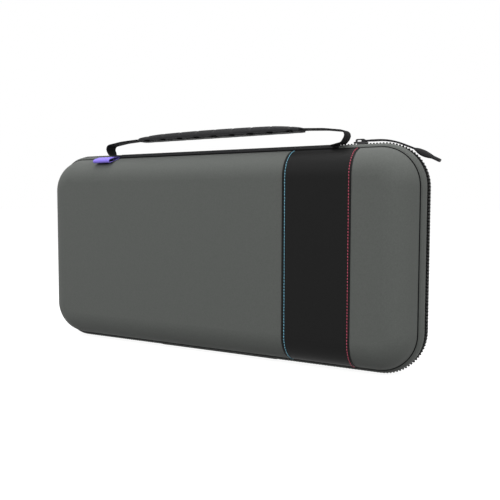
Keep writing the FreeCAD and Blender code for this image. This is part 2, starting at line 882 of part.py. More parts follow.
def seat_profile():
    """What the feet stand on: the strip over the bulged rim, the ribbon tag in front of it,
    and behind it the way that the slider needs."""
    cover = rim_cover(s.base_thickness)
    slider_way = plate_high + s.slider_play
    slider_edge = -(s.slider_width / 2 + s.slider_play)
    tag_top = tag_seat_height() + s.tag_ply_gap + s.tag_ply / 2
    tag_way = tag_top + s.strap_play
    front = -(s.handle_back + s.strap_width)
    deep = half_height - s.edge_reach
    ring = cover + [
        (cover[-1][0], tag_way),
        (front, tag_way),
        (front, deep),
        (0, deep),
        (0, slider_way),
        (slider_edge, slider_way),
        (slider_edge, cover[0][1]),
    ]
    return chain(ring)


def handle_grip():
    """Moulded grip: bowed along its length, drawn in at both ends, with cross notches on
    top, a seam line on each flank and the slot that the webbing runs through."""
    body = new_body("handle_grip")
    half = s.grip_length / 2
    side_view = sketch_on(body, "XZ_Plane", "grip_outline", "Sizes.handle_back")

    def at(x, rise):
        return Vector(*handle_at(x, s.strap_rise + rise), 0)

    shoulder = half - s.grip_taper
    sole = -s.grip_sole
    top = s.grip_height - s.grip_sole
    crown = top + s.grip_bow
    tip = s.grip_end_rise
    taper_x = half - s.grip_taper / 2
    taper_rise = (top + tip) / 2 + s.grip_taper_bow
    edges = [
        Part.Arc(at(shoulder, top), at(0, crown), at(-shoulder, top)),
        Part.Arc(at(-shoulder, top), at(-taper_x, taper_rise), at(-half, tip)),
        Part.LineSegment(at(-half, tip), at(-half, sole)),
        Part.LineSegment(at(-half, sole), at(half, sole)),
        Part.LineSegment(at(half, sole), at(half, tip)),
        Part.Arc(at(half, tip), at(taper_x, taper_rise), at(shoulder, top)),
    ]
    side_view.addGeometry(edges, False)
    block = pad(body, side_view, "Sizes.grip_width", "grip_block", both_ways=True)
    doc.recompute()
    flank = s.grip_width / 2
    long_edges = edges_where(
        block,
        lambda edge: abs(abs(edge.CenterOfMass.y + s.handle_back) - flank) < NEAR
        and edge.Length > s.grip_height,
    )
    bevel_edges(body, block, long_edges, "Sizes.grip_bevel", "grip_bevels")
    slot = sketch_on(body, "XZ_Plane", "grip_slot", "Sizes.handle_back")
    beyond = half + s.strap_lead
    slot_high = s.strap_thickness / 2 + s.grip_slot_play
    slot_corners = [(-beyond, -slot_high), (beyond, -slot_high)]
    slot_corners += [(beyond, slot_high), (-beyond, slot_high)]
    slot.addGeometry(
        chain([handle_at(x, s.strap_rise + rise) for x, rise in slot_corners]), False
    )
    pocket(body, slot, "Sizes.strap_width + 2 * Sizes.grip_slot_play", "slot", both_ways=True)
    seam = sketch_on(body, "YZ_Plane", "grip_seam")
    seam_z = half_height + s.strap_rise - s.seam_drop
    seam_edges = []
    for side in (-1, 1):
        outer = -s.handle_back + side * (s.grip_width / 2 + s.seam_depth)
        inner = -s.handle_back + side * (s.grip_width / 2 - s.seam_depth)
        seam_edges += chain(
            [
                (inner, seam_z),
                (outer, seam_z - 2 * s.seam_depth),
                (outer, seam_z + 2 * s.seam_depth),
            ]
        )
    seam.addGeometry(seam_edges, False)
    pocket(body, seam, "Sizes.case_length", "seams", both_ways=True)
    doc.recompute()
    whole = body.Shape.Volume
    notch = sketch_on(body, "XZ_Plane", "grip_notch", "Sizes.handle_back")
    bow_radius = (shoulder ** 2 + s.grip_bow ** 2) / (2 * s.grip_bow)
    for index in range(GRIP_NOTCHES):
        x = (index - (GRIP_NOTCHES - 1) / 2) * s.notch_pitch + s.notch_shift
        surface = crown - bow_radius + math.sqrt(bow_radius ** 2 - x ** 2)
        if abs(x) > shoulder:
            surface = top + (tip - top) * (abs(x) - shoulder) / s.grip_taper
        centre = at(x, surface - s.notch_depth + s.notch_radius)
        notch.addGeometry(Part.Circle(centre, Vector(0, 0, 1), s.notch_radius), False)
    pocket(body, notch, "2 * Sizes.grip_width", "notches", both_ways=True)
    doc.recompute()
    if body.Shape.Volume >= whole:
        raise RuntimeError("the notches of the grip cut nothing")


def tag_seat_height():
    """Height of the ribbon's middle line where it enters the crease."""
    return half_height - s.rim_lip_inset + s.tag_seat


def side_tag():
    """Ribbon folded over on itself and caught in the crease by both ends."""
    body = new_body("side_tag")
    outline = sketch_on(body, "YZ_Plane", "tag_outline", "Sizes.tag_left")
    back = crease_y + s.crease_groove / 3
    seat = tag_seat_height()
    run = [
        (back, seat),
        (back - s.tag_reach, seat - s.tag_droop),
        (back - s.tag_fold_reach, seat - s.tag_droop + s.tag_opening),
        (back - s.tag_bend_reach, seat + s.tag_bend_rise),
        (back, seat + s.tag_ply_gap),
    ]
    bends = (s.tag_fold_round, s.tag_fold_round, s.tag_upper_bend)
    outline.addGeometry(strip_outline(run, bends, s.tag_ply), False)
    pad(body, outline, "Sizes.tag_width", "tag_ribbon")


# Tray and its strap in the rear half
def rounded_block(body, name, half_x, half_y, radius, start, depth, cut=False):
    """A block or recess with rounded corners, its outline on a plane in front of the middle."""
    sketch = sketch_on(body, "XZ_Plane", name + "_outline", start)
    sketch.addGeometry(rounded_rectangle(half_x, half_y, radius), False)
    if cut:
        return pocket(body, sketch, depth, name, onward=True)
    return pad(body, sketch, depth, name)


def console_tray():
    """Moulded pan: a flange that fills the rim, the recess for the console with a rounded
    floor edge, and a finger scallop in the middle of each long side."""
    body = new_body("console_tray", turned=True)
    rim_reach = s.rim_wall + s.tray_play
    half_x = s.console_length / 2
    half_z = s.console_height / 2
    scallop_z = half_z + s.scallop_reach - s.scallop_radius
    rounded_block(
        body,
        "flange",
        half_length - rim_reach,
        half_height - rim_reach,
        s.corner_radius - rim_reach,
        "Sizes.tray_top",
        "Sizes.tray_wall",
    )
    rounded_block(
        body,
        "pan",
        half_x + s.tray_wall,
        half_z + s.tray_wall,
        s.console_corner + s.tray_wall,
        "Sizes.tray_top",
        "Sizes.tray_depth + Sizes.tray_wall",
    )

    def discs(name, radius):
        sketch = sketch_on(body, "XZ_Plane", name, "Sizes.tray_top")
        for side in (-1, 1):
            centre = Vector(0, side * scallop_z, 0)
            sketch.addGeometry(Part.Circle(centre, Vector(0, 0, 1), radius), False)
        return sketch

    bosses = discs("boss_outline", s.scallop_radius + s.tray_wall)
    pad(body, bosses, "Sizes.scallop_depth + Sizes.tray_wall", "bosses")
    recess = rounded_block(
        body,
        "recess",
        half_x,
        half_z,
        s.console_corner,
        "Sizes.tray_top",
        "Sizes.tray_depth",
        cut=True,
    )
    doc.recompute()
    floor_y = -(s.tray_top + s.tray_depth)
    inner = edges_where(recess, lambda edge: abs(edge.CenterOfMass.y - floor_y) < NEAR)
    inside = bevel_edges(body, recess, inner, "Sizes.tray_floor_bevel", "recess_bevel")
    doc.recompute()
    under_y = floor_y - s.tray_wall
    outer = edges_where(inside, lambda edge: abs(edge.CenterOfMass.y - under_y) < NEAR)
    even_wall = "Sizes.tray_floor_bevel + Sizes.tray_wall * (2 - sqrt(2))"
    bevel_edges(body, inside, outer, even_wall, "pan_bevel")
    scallops = discs("scallop_outline", s.scallop_radius)
    pocket(body, scallops, "Sizes.scallop_depth", "scallops", onward=True)


def hold_down_strap():
    """Elastic strap that lies across the tray and is fixed to its flange at both ends."""
    body = new_body("hold_down_strap", turned=True)
    reach = s.console_height / 2 + s.scallop_reach + s.holder_margin
    outline = sketch_on(
        body, "XZ_Plane", "holder_outline", "Sizes.tray_top - Sizes.holder_thickness"
    )
    half = s.holder_width / 2
    outline.addGeometry(
        chain([(-half, -reach), (half, -reach), (half, reach), (-half, reach)]), False
    )
    pad(body, outline, "Sizes.holder_thickness", "holder_web")


# What the lid holds
def card_panel():
    """Padded flap behind the pockets, sewn to the lower rim by a tape along its edge."""
    body = new_body("card_panel")
    rounded_block(
        body,
        "panel",
        s.flap_length / 2,
        s.flap_height / 2,
        s.flap_corner,
        "Sizes.flap_front",
        "Sizes.flap_thickness",
    )
    tape = sketch_on(
        body,
        "XZ_Plane",
        "tape_outline",
        "Sizes.flap_front + Sizes.flap_thickness / 2 - Sizes.flap_tape / 2",
    )
    bound_rectangle(
        tape,
        "-(Sizes.flap_length / 2 - Sizes.flap_corner)",
        "Sizes.flap_length / 2 - Sizes.flap_corner",
        "Sizes.rim_wall - Sizes.case_height / 2",
        "-Sizes.flap_height / 2 + Sizes.flap_tape",
    )
    pad(body, tape, "Sizes.flap_tape", "sewn_edge")


def card_pockets():
    """Two rows of card pockets on the panel, each mouth dipped for the thumb."""
    low = -(CARD_ROWS - 1) / 2 * s.card_row_spacing - s.card_row_height / 2
    y = -s.flap_front
    half = s.card_row_length / 2
    rows = []
    for row in range(CARD_ROWS):
        bottom = low + row * s.card_row_spacing
        mouth = bottom + s.card_row_height
        dip = mouth - s.card_notch / 2
        outline = [Vector(-half, y, bottom), Vector(-half, y, mouth)]
        for column in range(CARD_POCKETS):
            x = (column - (CARD_POCKETS - 1) / 2) * s.card_pitch
            outline.append(Vector(x - s.card_notch, y, mouth))
            outline.append(Vector(x - s.card_notch / 2, y, dip))
            outline.append(Vector(x + s.card_notch / 2, y, dip))
            outline.append(Vector(x + s.card_notch, y, mouth))
        outline += [Vector(half, y, mouth), Vector(half, y, bottom)]
        outline.append(outline[0])
        face = Part.Face(Part.makePolygon(outline))
        rows.append(face.extrude(Vector(0, s.card_row_thickness, 0)))
    item = doc.addObject("Part::Feature", "card_pockets")
    item.Label = "card_pockets"
    item.Shape = Part.makeCompound(rows)
    place(item)


def lid_pocket():
    """Mesh pocket against the inside of the lid, open along its upper edge."""
    body = new_body("lid_pocket")
    inner_face = "Sizes.case_depth / 2 - Sizes.wall - Sizes.mesh_depth"
    outline = sketch_on(body, "XZ_Plane", "mesh_outline", inner_face)
    half = "Sizes.mesh_length / 2"
    bound_rectangle(
        outline, "-" + half, half, "Sizes.mesh_low", "Sizes.mesh_low + Sizes.mesh_height"
    )
    pad(body, outline, "Sizes.mesh_depth", "mesh_block")
    space = sketch_on(body, "XZ_Plane", "mesh_space", inner_face + " + Sizes.mesh_wall")
    inner = "(Sizes.mesh_length / 2 - Sizes.mesh_wall)"
    bound_rectangle(
        space,
        "-" + inner,
        inner,
        "Sizes.mesh_low + Sizes.mesh_wall",
        "Sizes.mesh_low + Sizes.mesh_height + Sizes.mesh_wall",
    )
    pocket(body, space, "Sizes.mesh_depth", "mesh_opening", onward=True)


def pocket_binding():
    """Elastic binding along the mouth of the mesh pocket, on the inner side."""
    body = new_body("pocket_binding")
    offset = "Sizes.case_depth / 2 - Sizes.wall - Sizes.mesh_depth - Sizes.binding_thickness"
    outline = sketch_on(body, "XZ_Plane", "binding_outline", offset)
    half = "Sizes.mesh_length / 2"
    bound_rectangle(
        outline,
        "-" + half,
        half,
        "Sizes.mesh_low + Sizes.mesh_height - Sizes.binding_height",
        "Sizes.mesh_low + Sizes.mesh_height",
    )
    pad(body, outline, "Sizes.binding_thickness", "binding_strip")


def write_parts():
    """Checks every object and writes one file for each piece."""
    doc.recompute()
    for item in doc.Objects:
        if "Invalid" in item.State or "Error" in item.State:
            raise RuntimeError("%s did not build: %s" % (item.Label, item.State))
    os.makedirs("parts", exist_ok=True)
    for item in built:
        if item.Shape.isNull() or not item.Shape.isValid():
            raise RuntimeError("%s has no sound shape" % item.Label)
        item.Shape.exportStep("parts/%s.step" % item.Label)


front_shell()
moulded_shell("rear_shell", turned=True)
centre_band()
stitching("stitching_blue", s.band_left + s.stitch_inset)
stitching("stitching_red", s.band_left + s.band_width - s.stitch_inset)
zip_tape("zip_tape_front")
zip_tape("zip_tape_rear", turned=True)
zip_row("zip_teeth_front")
zip_row("zip_teeth_rear", turned=True)
spine_strip()
handle_base()
handle_strap()
handle_grip()
side_tag()
console_tray()
hold_down_strap()
card_panel()
card_pockets()
lid_pocket()
pocket_binding()
zip_slider()
pull_loop()
pull_grip()
write_parts()
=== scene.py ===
"""Looks of the portable game console case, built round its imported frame. The frame's lengths
are in metres; the pieces and patterns here are drawn in millimetres."""

import json
import math

import bmesh
import bpy
from mathutils import Matrix, Vector


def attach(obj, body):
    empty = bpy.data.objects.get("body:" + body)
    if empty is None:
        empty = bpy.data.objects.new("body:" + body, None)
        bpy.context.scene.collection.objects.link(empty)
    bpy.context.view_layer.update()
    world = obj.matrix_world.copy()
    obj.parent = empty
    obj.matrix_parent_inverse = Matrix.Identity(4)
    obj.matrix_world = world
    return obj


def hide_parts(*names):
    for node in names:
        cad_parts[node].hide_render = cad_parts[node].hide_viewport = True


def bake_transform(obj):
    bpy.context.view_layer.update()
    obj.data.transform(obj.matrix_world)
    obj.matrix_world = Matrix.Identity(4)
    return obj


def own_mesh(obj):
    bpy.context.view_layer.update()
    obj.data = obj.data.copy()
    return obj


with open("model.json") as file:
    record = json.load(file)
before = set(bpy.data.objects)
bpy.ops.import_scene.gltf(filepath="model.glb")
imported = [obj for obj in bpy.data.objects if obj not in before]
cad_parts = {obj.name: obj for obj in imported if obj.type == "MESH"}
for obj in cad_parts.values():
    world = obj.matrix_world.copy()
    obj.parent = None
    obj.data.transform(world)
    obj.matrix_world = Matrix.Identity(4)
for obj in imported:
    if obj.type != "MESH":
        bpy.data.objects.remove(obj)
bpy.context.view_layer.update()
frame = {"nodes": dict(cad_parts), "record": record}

MM = 0.001

# Colours, as sRGB hex values
SHELL_CLOTH = "#5c5f5c"
BAND_BLACK = "#1a1a1a"
# Painted shade of the creases, and black sewing thread
THREAD_AND_SHADE_BLACK = "#0e0e0f"
THREAD_BLUE = "#86cfea"
THREAD_RED = "#d4566e"
TAPE_BLACK = "#1a1a1b"
TEETH_BLACK = "#131314"
WEBBING_BLACK = "#111112"
BASE_GREY = "#262628"
GRIP_BLACK = "#29292b"
# Painted shade in the grip's dents
DENT_SHADE_BLACK = "#0c0c0d"
RIBBON_VIOLET = "#8f7bf2"
# Painted shade inside the ribbon's fold
RIBBON_FOLD_SHADE_VIOLET = "#2a2350"
LINING_BLACK = "#262628"
SLIDER_BLACK = "#1c1c1e"
RUBBER_BLACK = "#1d1d1f"
FLOOR_GREY = "#888888"
WHITE = "#ffffff"

# Share of a colour that is left where its shade pattern is at its darkest
SHADED = 0.72


def linear(colour, share=1.0):
    """An sRGB hex value as linear red, green, blue and an alpha of 1, darkened to a share."""
    values = []
    for start in (1, 3, 5):
        part = int(colour[start:start + 2], 16) / 255
        part = part / 12.92 if part <= 0.04045 else ((part + 0.055) / 1.055) ** 2.4
        values.append(share * part)
    return (*values, 1.0)


def add(tree, kind, inputs=None, **settings):
    """Adds a node with its settings. Inputs maps socket names or numbers to values, to sockets
    or to nodes, whose first output is then linked."""
    node = tree.nodes.new(kind)
    for name, value in settings.items():
        setattr(node, name, value)
    for name, value in (inputs or {}).items():
        if isinstance(value, bpy.types.Node):
            value = value.outputs[0]
        if isinstance(value, bpy.types.NodeSocket):
            tree.links.new(value, node.inputs[name])
        else:
            node.inputs[name].default_value = value
    return node


def blank_material(name):
    """A material with nothing in it but its output."""
    material = bpy.data.materials.new(name)
    material.use_nodes = True
    material.node_tree.nodes.clear()
    output = add(material.node_tree, "ShaderNodeOutputMaterial")
    return material, material.node_tree, output


def surface(name, colour, roughness, relief, strength=0.3, depth=0.1, shade=None,
            specular=0.4, sheen=0.0):
    """A principled surface. Relief and shade each name a pattern and its measures: relief
    raises the surface by up to depth in millimetres, and shade darkens its colour."""
    material, tree, output = blank_material(name)
    shader = add(tree, "ShaderNodeBsdfPrincipled", {
        "Base Color": linear(colour),
        "Roughness": roughness,
        "Specular IOR Level": specular,
        "Sheen Weight": sheen,
    })
    if shade:
        pattern, *measures = shade
        mix = add(tree, "ShaderNodeMix", {
            0: pattern(tree, *measures), 6: linear(colour, SHADED), 7: linear(colour),
        }, data_type="RGBA")
        tree.links.new(mix.outputs[2], shader.inputs["Base Color"])
    pattern, *measures = relief
    height = add(tree, "ShaderNodeBump", {
        "Strength": strength,
        "Distance": depth * MM,
        "Height": pattern(tree, *measures),
    })
    tree.links.new(height.outputs["Normal"], shader.inputs["Normal"])
    tree.links.new(shader.outputs["BSDF"], output.inputs["Surface"])
    return material


def weave(tree, pitch):
    """A plain weave of threads a pitch apart, laid along the two axes that lie nearest to the
    surface."""
    place = add(tree, "ShaderNodeTexCoord").outputs["Object"]
    axes = add(tree, "ShaderNodeSeparateXYZ", {0: place})
    facing = add(tree, "ShaderNodeNewGeometry").outputs["Normal"]
    sides = add(tree, "ShaderNodeSeparateXYZ", {0: facing})
    waves = []
    for axis in range(3):
        turn = add(tree, "ShaderNodeMath", {0: axes.outputs[axis], 1: math.pi / (pitch * MM)},
                   operation="MULTIPLY")
        waves.append(add(tree, "ShaderNodeMath", {0: turn}, operation="SINE"))
    shares = []
    for across, (first, second) in enumerate(((1, 2), (0, 2), (0, 1))):
        crossing = add(tree, "ShaderNodeMath", {0: waves[first], 1: waves[second]},
                       operation="MULTIPLY")
        raised = add(tree, "ShaderNodeMath", {0: crossing}, operation="ABSOLUTE")
        towards = add(tree, "ShaderNodeMath", {0: sides.outputs[across]}, operation="ABSOLUTE")
        weight = add(tree, "ShaderNodeMath", {0: towards, 1: 4.0}, operation="POWER")
        shares.append(
            add(tree, "ShaderNodeMath", {0: raised, 1: weight}, operation="MULTIPLY")
        )
    pair = add(tree, "ShaderNodeMath", {0: shares[0], 1: shares[1]}, operation="ADD")
    return add(tree, "ShaderNodeMath", {0: pair, 1: shares[2]}, operation="ADD")


def speckle(tree, size):
    """Soft irregular grain with features of about a size."""
    place = add(tree, "ShaderNodeTexCoord").outputs["Object"]
    return add(tree, "ShaderNodeTexNoise", {
        "Vector": place, "Scale": 1 / (size * MM), "Detail": 2.0, "Roughness": 0.6,
    })


def ribs(tree, axis, pitch):
    """Parallel ribs a pitch apart along one axis, as in webbing and ribbon."""
    place = add(tree, "ShaderNodeTexCoord").outputs["Object"]
    axes = add(tree, "ShaderNodeSeparateXYZ", {0: place})
    turn = add(tree, "ShaderNodeMath", {0: axes.outputs[axis], 1: math.pi / (pitch * MM)},
               operation="MULTIPLY")
    wave = add(tree, "ShaderNodeMath", {0: turn}, operation="SINE")
    return add(tree, "ShaderNodeMath", {0: wave}, operation="ABSOLUTE")


# After the colour: roughness, relief pattern with its sizes in millimetres, strength of the
# relief and its depth in millimetres, and shade pattern with its sizes. A pixel of the main
# view is about 0.8 mm of the case, so patterns finer than that are drawn coarser than the
# real ones where their comment says so.
MATERIALS = {
    # Woven polyester on foam: dull grey, with a fine grain from its threads. Real threads are
    # some 0.3 mm apart and are drawn coarser, at 0.7 mm, so that they show from nearby.
    "shell_fabric": surface(
        "woven_polyester", SHELL_CLOTH, 0.8, (weave, 0.7), 0.35, 0.12, (speckle, 0.9),
        specular=0.28, sheen=0.08,
    ),
    # Synthetic leather with an embossed grain: black, with a low soft gloss broken up by the
    # grain. A real grain is about 0.4 mm and is drawn coarser, at 0.6 mm.
    "band_fabric": surface(
        "grained_synthetic_leather", BAND_BLACK, 0.55, (speckle, 0.6), 0.4, 0.12,
        (speckle, 1.1), specular=0.1,
    ),
    # Twisted polyester sewing thread: a bright dotted line with a faint gloss; the twist
    # repeats every 0.3 mm.
    "thread_blue": surface("blue_thread", THREAD_BLUE, 0.6, (ribs, 2, 0.3)),
    "thread_red": surface("red_thread", THREAD_RED, 0.6, (ribs, 2, 0.3)),
    # Woven polyester zip tape: flat black, with dark gaps between the threads. Real threads
    # are some 0.3 mm apart and are drawn coarser, at 0.5 mm.
    "zip_tape": surface(
        "zip_tape_weave", TAPE_BLACK, 0.9, (weave, 0.5), 0.5, 0.1, (weave, 0.5)
    ),
    # Moulded acetal: smooth black teeth that catch small soft lights.
    "zip_plastic": surface(
        "moulded_acetal", TEETH_BLACK, 0.45, (speckle, 0.3), 0.1, 0.02, specular=0.2
    ),
    # Woven polyester strip: flat black, drawn coarser than its real threads of some 0.3 mm.
    "spine_fabric": surface(
        "spine_cloth", TAPE_BLACK, 0.9, (weave, 0.6), 0.5, 0.1, (weave, 0.6)
    ),
    # Woven polypropylene webbing sewn flat: dark grey with even cross ribs of 0.9 mm.
    "base_webbing": surface(
        "flat_webbing", BASE_GREY, 0.85, (ribs, 0, 0.9), 0.6, 0.15, (ribs, 0, 0.9)
    ),
    # Woven nylon webbing: near black with a slight sheen, in a coarse weave of 0.9 mm.
    "webbing": surface(
        "nylon_webbing", WEBBING_BLACK, 0.7, (weave, 0.9), 0.7, 0.2, (weave, 0.9),
        specular=0.15, sheen=0.02,
    ),
    # Moulded rubber from a sparked mould: matt black, a little uneven, with wide soft lights
    # on its rounds. The spark grain is drawn coarser than its real 0.1 mm, at 0.4 mm.
    "grip_rubber": surface(
        "matt_rubber", GRIP_BLACK, 0.6, (speckle, 0.4), 0.25, 0.05, (speckle, 2.0),
        specular=0.25,
    ),
    # Woven polyester ribbon: bright violet with a silky sheen across fine ribs, which are
    # drawn coarser than their real 0.3 mm, at 0.6 mm.
    "ribbon": surface(
        "violet_ribbon", RIBBON_VIOLET, 0.5, (ribs, 0, 0.6), 0.4, 0.1, (ribs, 0, 0.6),
        sheen=0.1,
    ),
    # Brushed nylon on moulded foam: deep soft black, with a pile that lies unevenly in tufts
    # of 0.4 mm.
    "tray_lining": surface(
        "brushed_nylon", LINING_BLACK, 0.95, (speckle, 0.4), 0.5, 0.12, (speckle, 1.5),
        specular=0.2, sheen=0.2,
    ),
    # Woven elastic: black, with rubber cores that show as ribs of 0.9 mm.
    "elastic": surface(
        "woven_elastic", TAPE_BLACK, 0.8, (ribs, 0, 0.9), 0.7, 0.2, (ribs, 0, 0.9)
    ),
    # Brushed nylon cloth over foam: soft black, a little worn in places; its threads are
    # drawn coarser than their real 0.3 mm, at 0.6 mm.
    "panel_lining": surface(
        "panel_cloth", LINING_BLACK, 0.95, (weave, 0.6), 0.5, 0.12, (speckle, 1.2),
        specular=0.2, sheen=0.15,
    ),
    # Thin woven polyester: plain black, drawn coarser than its real threads of some 0.3 mm.
    "card_cloth": surface(
        "card_pocket_cloth", TAPE_BLACK, 0.85, (weave, 0.6), 0.5, 0.1, (weave, 0.6)
    ),
    # Warp-knitted polyester net: black strands, roughened by their filaments, which are
    # drawn coarser than the real ones, at 0.4 mm.
    "mesh": surface(
        "knitted_mesh", TAPE_BLACK, 0.8, (speckle, 0.4), 0.5, 0.1, (speckle, 0.8)
    ),
    # Woven elastic binding: black, with ribs of 0.9 mm.
    "binding": surface(
        "elastic_binding", TAPE_BLACK, 0.8, (ribs, 0, 0.9), 0.7, 0.2, (ribs, 0, 0.9)
    ),
    # Die-cast zinc under baked enamel: black with small sharp lights on its edges. The enamel
    # hides the metal, so the surface isn't metallic.
    "slider_metal": surface(
        "black_enamelled_zinc", SLIDER_BLACK, 0.3, (speckle, 0.5), 0.08, 0.02, specular=0.6
    ),
    # Soft vinyl, moulded: black, smooth, with a dim gloss.
    "pull_strap": surface(
        "flexible_strap", RUBBER_BLACK, 0.5, (speckle, 0.3), 0.2, 0.03, specular=0.15
    ),
    # Moulded rubber: matt black, a little uneven; its grain is drawn coarser, at 0.4 mm.
    "pull_rubber": surface(
        "moulded_rubber", RUBBER_BLACK, 0.55, (speckle, 0.4), 0.25, 0.05, (speckle, 1.5),
        specular=0.25,
    ),
}
# Dead black: painted shade along the crease round each half shell and under the flat webbing on
# the rim; also a dark line on the webbing's upper edge and the black sewing thread.
BLACK_THREAD_AND_SHADE = surface(
    "black_thread_and_shade_line", THREAD_AND_SHADE_BLACK, 0.9, (speckle, 0.4), 0.4, 0.08, specular=0.1
)
# Painted shade in the grip's oval dents: darker rubber, and quite matt.
DENT_PAINTED_SHADE = surface(
    "painted_shade_in_the_dents", DENT_SHADE_BLACK, 0.8, (speckle, 0.4), 0.3, 0.05, specular=0.1
)
# Painted shade on the ribbon's faces inside its fold: deep violet.
RIBBON_FOLD_SHADE = surface("ribbon_painted_fold_shade", RIBBON_FOLD_SHADE_VIOLET, 0.6, (ribs, 0, 0.6), 0.4, 0.1)
for entry in frame["record"]["subparts"]:
    mesh = frame["nodes"][entry["node"]].data
    mesh.materials.clear()
    mesh.materials.append(MATERIALS[entry["material_slot"]])

# Measures of the case that the pieces share, in millimetres
HALF_LENGTH = 150.0
HALF_HEIGHT = 71.25
MIDDLE = 72.05  # height of the rim's middle
RIM_TOP = 143.3
CORNER = 27.2
CREASE_Y = -8.75
CREASE_INSET = 2.75
EDGE_RADIUS = 17.83  # of the round between the crease and the face
ARC_Y = -5.32  # centre of that round
ARC_Z = 50.8  # its height over the middle and its depth under it
ALONG_X = Vector((1, 0, 0))
ALONG_Y = Vector((0, 1, 0))


def piece(name, parts, materials, body, stands_for=(), smooth=True):
    """A mesh from (points, faces) parts in millimetres, riding on a body. Each part has the
    material of its place in the list, or the last one."""
    points = []
    faces = []
    marks = []
    for number, (part_points, part_faces) in enumerate(parts):
        start = len(points)
        points += [Vector(point) * MM for point in part_points]
        faces += [[start + corner for corner in face] for face in part_faces]
        marks += [min(number, len(materials) - 1)] * len(part_faces)
    mesh = bpy.data.meshes.new(name)
    mesh.from_pydata(points, [], faces)
    mesh.polygons.foreach_set("material_index", marks)
    mesh.polygons.foreach_set("use_smooth", [smooth] * len(faces))
    work = bmesh.new()
    work.from_mesh(mesh)
    bmesh.ops.recalc_face_normals(work, faces=work.faces)
    work.to_mesh(mesh)
    work.free()
    for material in materials:
        mesh.materials.append(material)
    item = bpy.data.objects.new(name, mesh)
    bpy.context.scene.collection.objects.link(item)
    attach(item, body)
    if stands_for:
        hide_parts(*stands_for)
    return item


def ring_round(centre, first, second, corners):
    """Points round a centre, reaching first and second from it along their own directions."""
    return [
        centre + first * math.cos(turn) + second * math.sin(turn)
        for turn in (index * 2 * math.pi / corners for index in range(corners))
    ]


def tube(sections, closed=False):
    """Points and faces of a skin over rings of points, capped at both ends unless closed."""
    count = len(sections[0])
    points = [point for section in sections for point in section]
    faces = []
    rings = len(sections)
    for ring in range(rings if closed else rings - 1):
        here = ring * count
        there = (ring + 1) % rings * count
        for index in range(count):
            after = (index + 1) % count
            faces.append((here + index, here + after, there + after, there + index))
    if not closed:
        faces.append(tuple(range(count)))
        faces.append(tuple((rings - 1) * count + index for index in range(count)))
    return points, faces


def rounded_run(points, radii, step):
    """Points along straight runs joined by arcs, no further apart than step."""
    path = [Vector(point) for point in points]
    line = [path[0]]

    def run_to(end):
        start = line[-1]
        count = max(1, math.ceil((end - start).length / step))
        line.extend(start.lerp(end, (index + 1) / count) for index in range(count))

    for index in range(1, len(path) - 1):
        before = (path[index] - path[index - 1]).normalized()
        after = (path[index + 1] - path[index]).normalized()
        turn = before.angle(after)
        radius = radii[index - 1]
        back = radius * math.tan(turn / 2)
        run_to(path[index] - before * back)
        start = line[-1]
        inward = (after - before).normalized()
        centre = path[index] + inward * (radius / math.cos(turn / 2))
        count = max(3, math.ceil(radius * turn / step))
        axis = before.cross(after).normalized()
        for part in range(1, count + 1):
            turned = Matrix.Rotation(turn * part / count, 3, axis) @ (start - centre)
            line.append(centre + turned)
    run_to(path[-1])
    return line


STRIP_SECTION = (
    (-1.0, -0.35), (-0.985, -0.8), (-0.94, -1.0), (-0.84, -0.9), (-0.5, -0.9), (0.0, -0.9),
    (0.5, -0.9), (0.84, -0.9), (0.94, -1.0), (0.985, -0.8), (1.0, -0.35), (1.0, 0.35),
    (0.985, 0.8), (0.94, 1.0), (0.84, 0.9), (0.5, 0.9), (0.0, 0.9), (-0.5, 0.9),
    (-0.84, 0.9), (-0.94, 1.0), (-0.985, 0.8), (-1.0, 0.35),
)


def strip_sections(line, side, half_width, thickness, section=STRIP_SECTION):
    """Rings of points round a line in a plane, for a strip as wide as two half widths
    along side."""
    sections = []
    last = len(line) - 1
    for index, point in enumerate(line):
        way = (line[min(index + 1, last)] - line[max(index - 1, 0)]).normalized()
        rise = way.cross(side)
        sections.append([
            point + side * (across * half_width) + rise * (up * thickness / 2)
            for across, up in section
        ])
    return sections


def case_line(inset, step, start=None):
    """Points, ways and outward directions along the rounded outline of the case, inset from
    the rim: the whole ring, or from start on the lower run round to the other side of it."""
    reach_x = HALF_LENGTH - inset
    reach_z = HALF_HEIGHT - inset
    radius = CORNER - inset
    inner_x = reach_x - radius
    inner_z = reach_z - radius
    low_start = 0.0 if start is None else start
    legs = [("run", Vector((low_start, 0, -reach_z)), Vector((inner_x, 0, -reach_z)))]
    quarters = ((1, -1, -90), (1, 1, 0), (-1, 1, 90), (-1, -1, 180))
    runs = (
        (Vector((reach_x, 0, -inner_z)), Vector((reach_x, 0, inner_z))),
        (Vector((inner_x, 0, reach_z)), Vector((-inner_x, 0, reach_z))),
        (Vector((-reach_x, 0, inner_z)), Vector((-reach_x, 0, -inner_z))),
        (Vector((-inner_x, 0, -reach_z)), Vector((-low_start, 0, -reach_z))),
    )
    for (side_x, side_z, first), run in zip(quarters, runs):
        legs.append(("arc", Vector((side_x * inner_x, 0, side_z * inner_z)), first))
        legs.append(("run", *run))
    lengths = [
        (leg[2] - leg[1]).length if leg[0] == "run" else radius * math.pi / 2 for leg in legs
    ]
    count = int(sum(lengths) / step)
    pitch = sum(lengths) / count
    places = []
    for index in range(count):
        along = (index + 0.5) * pitch
        for leg, length in zip(legs, lengths):
            if along <= length:
                break
            along -= length
        if leg[0] == "run":
            way = (leg[2] - leg[1]).normalized()
            place = leg[1] + way * along
            out = Vector((way.z, 0, -way.x))
        else:
            turn = math.radians(leg[2]) + along / radius
            out = Vector((math.cos(turn), 0, math.sin(turn)))
            place = leg[1] + out * radius
            way = Vector((-out.z, 0, out.x))
        places.append((place + Vector((0, 0, MIDDLE)), way, out))
    return places


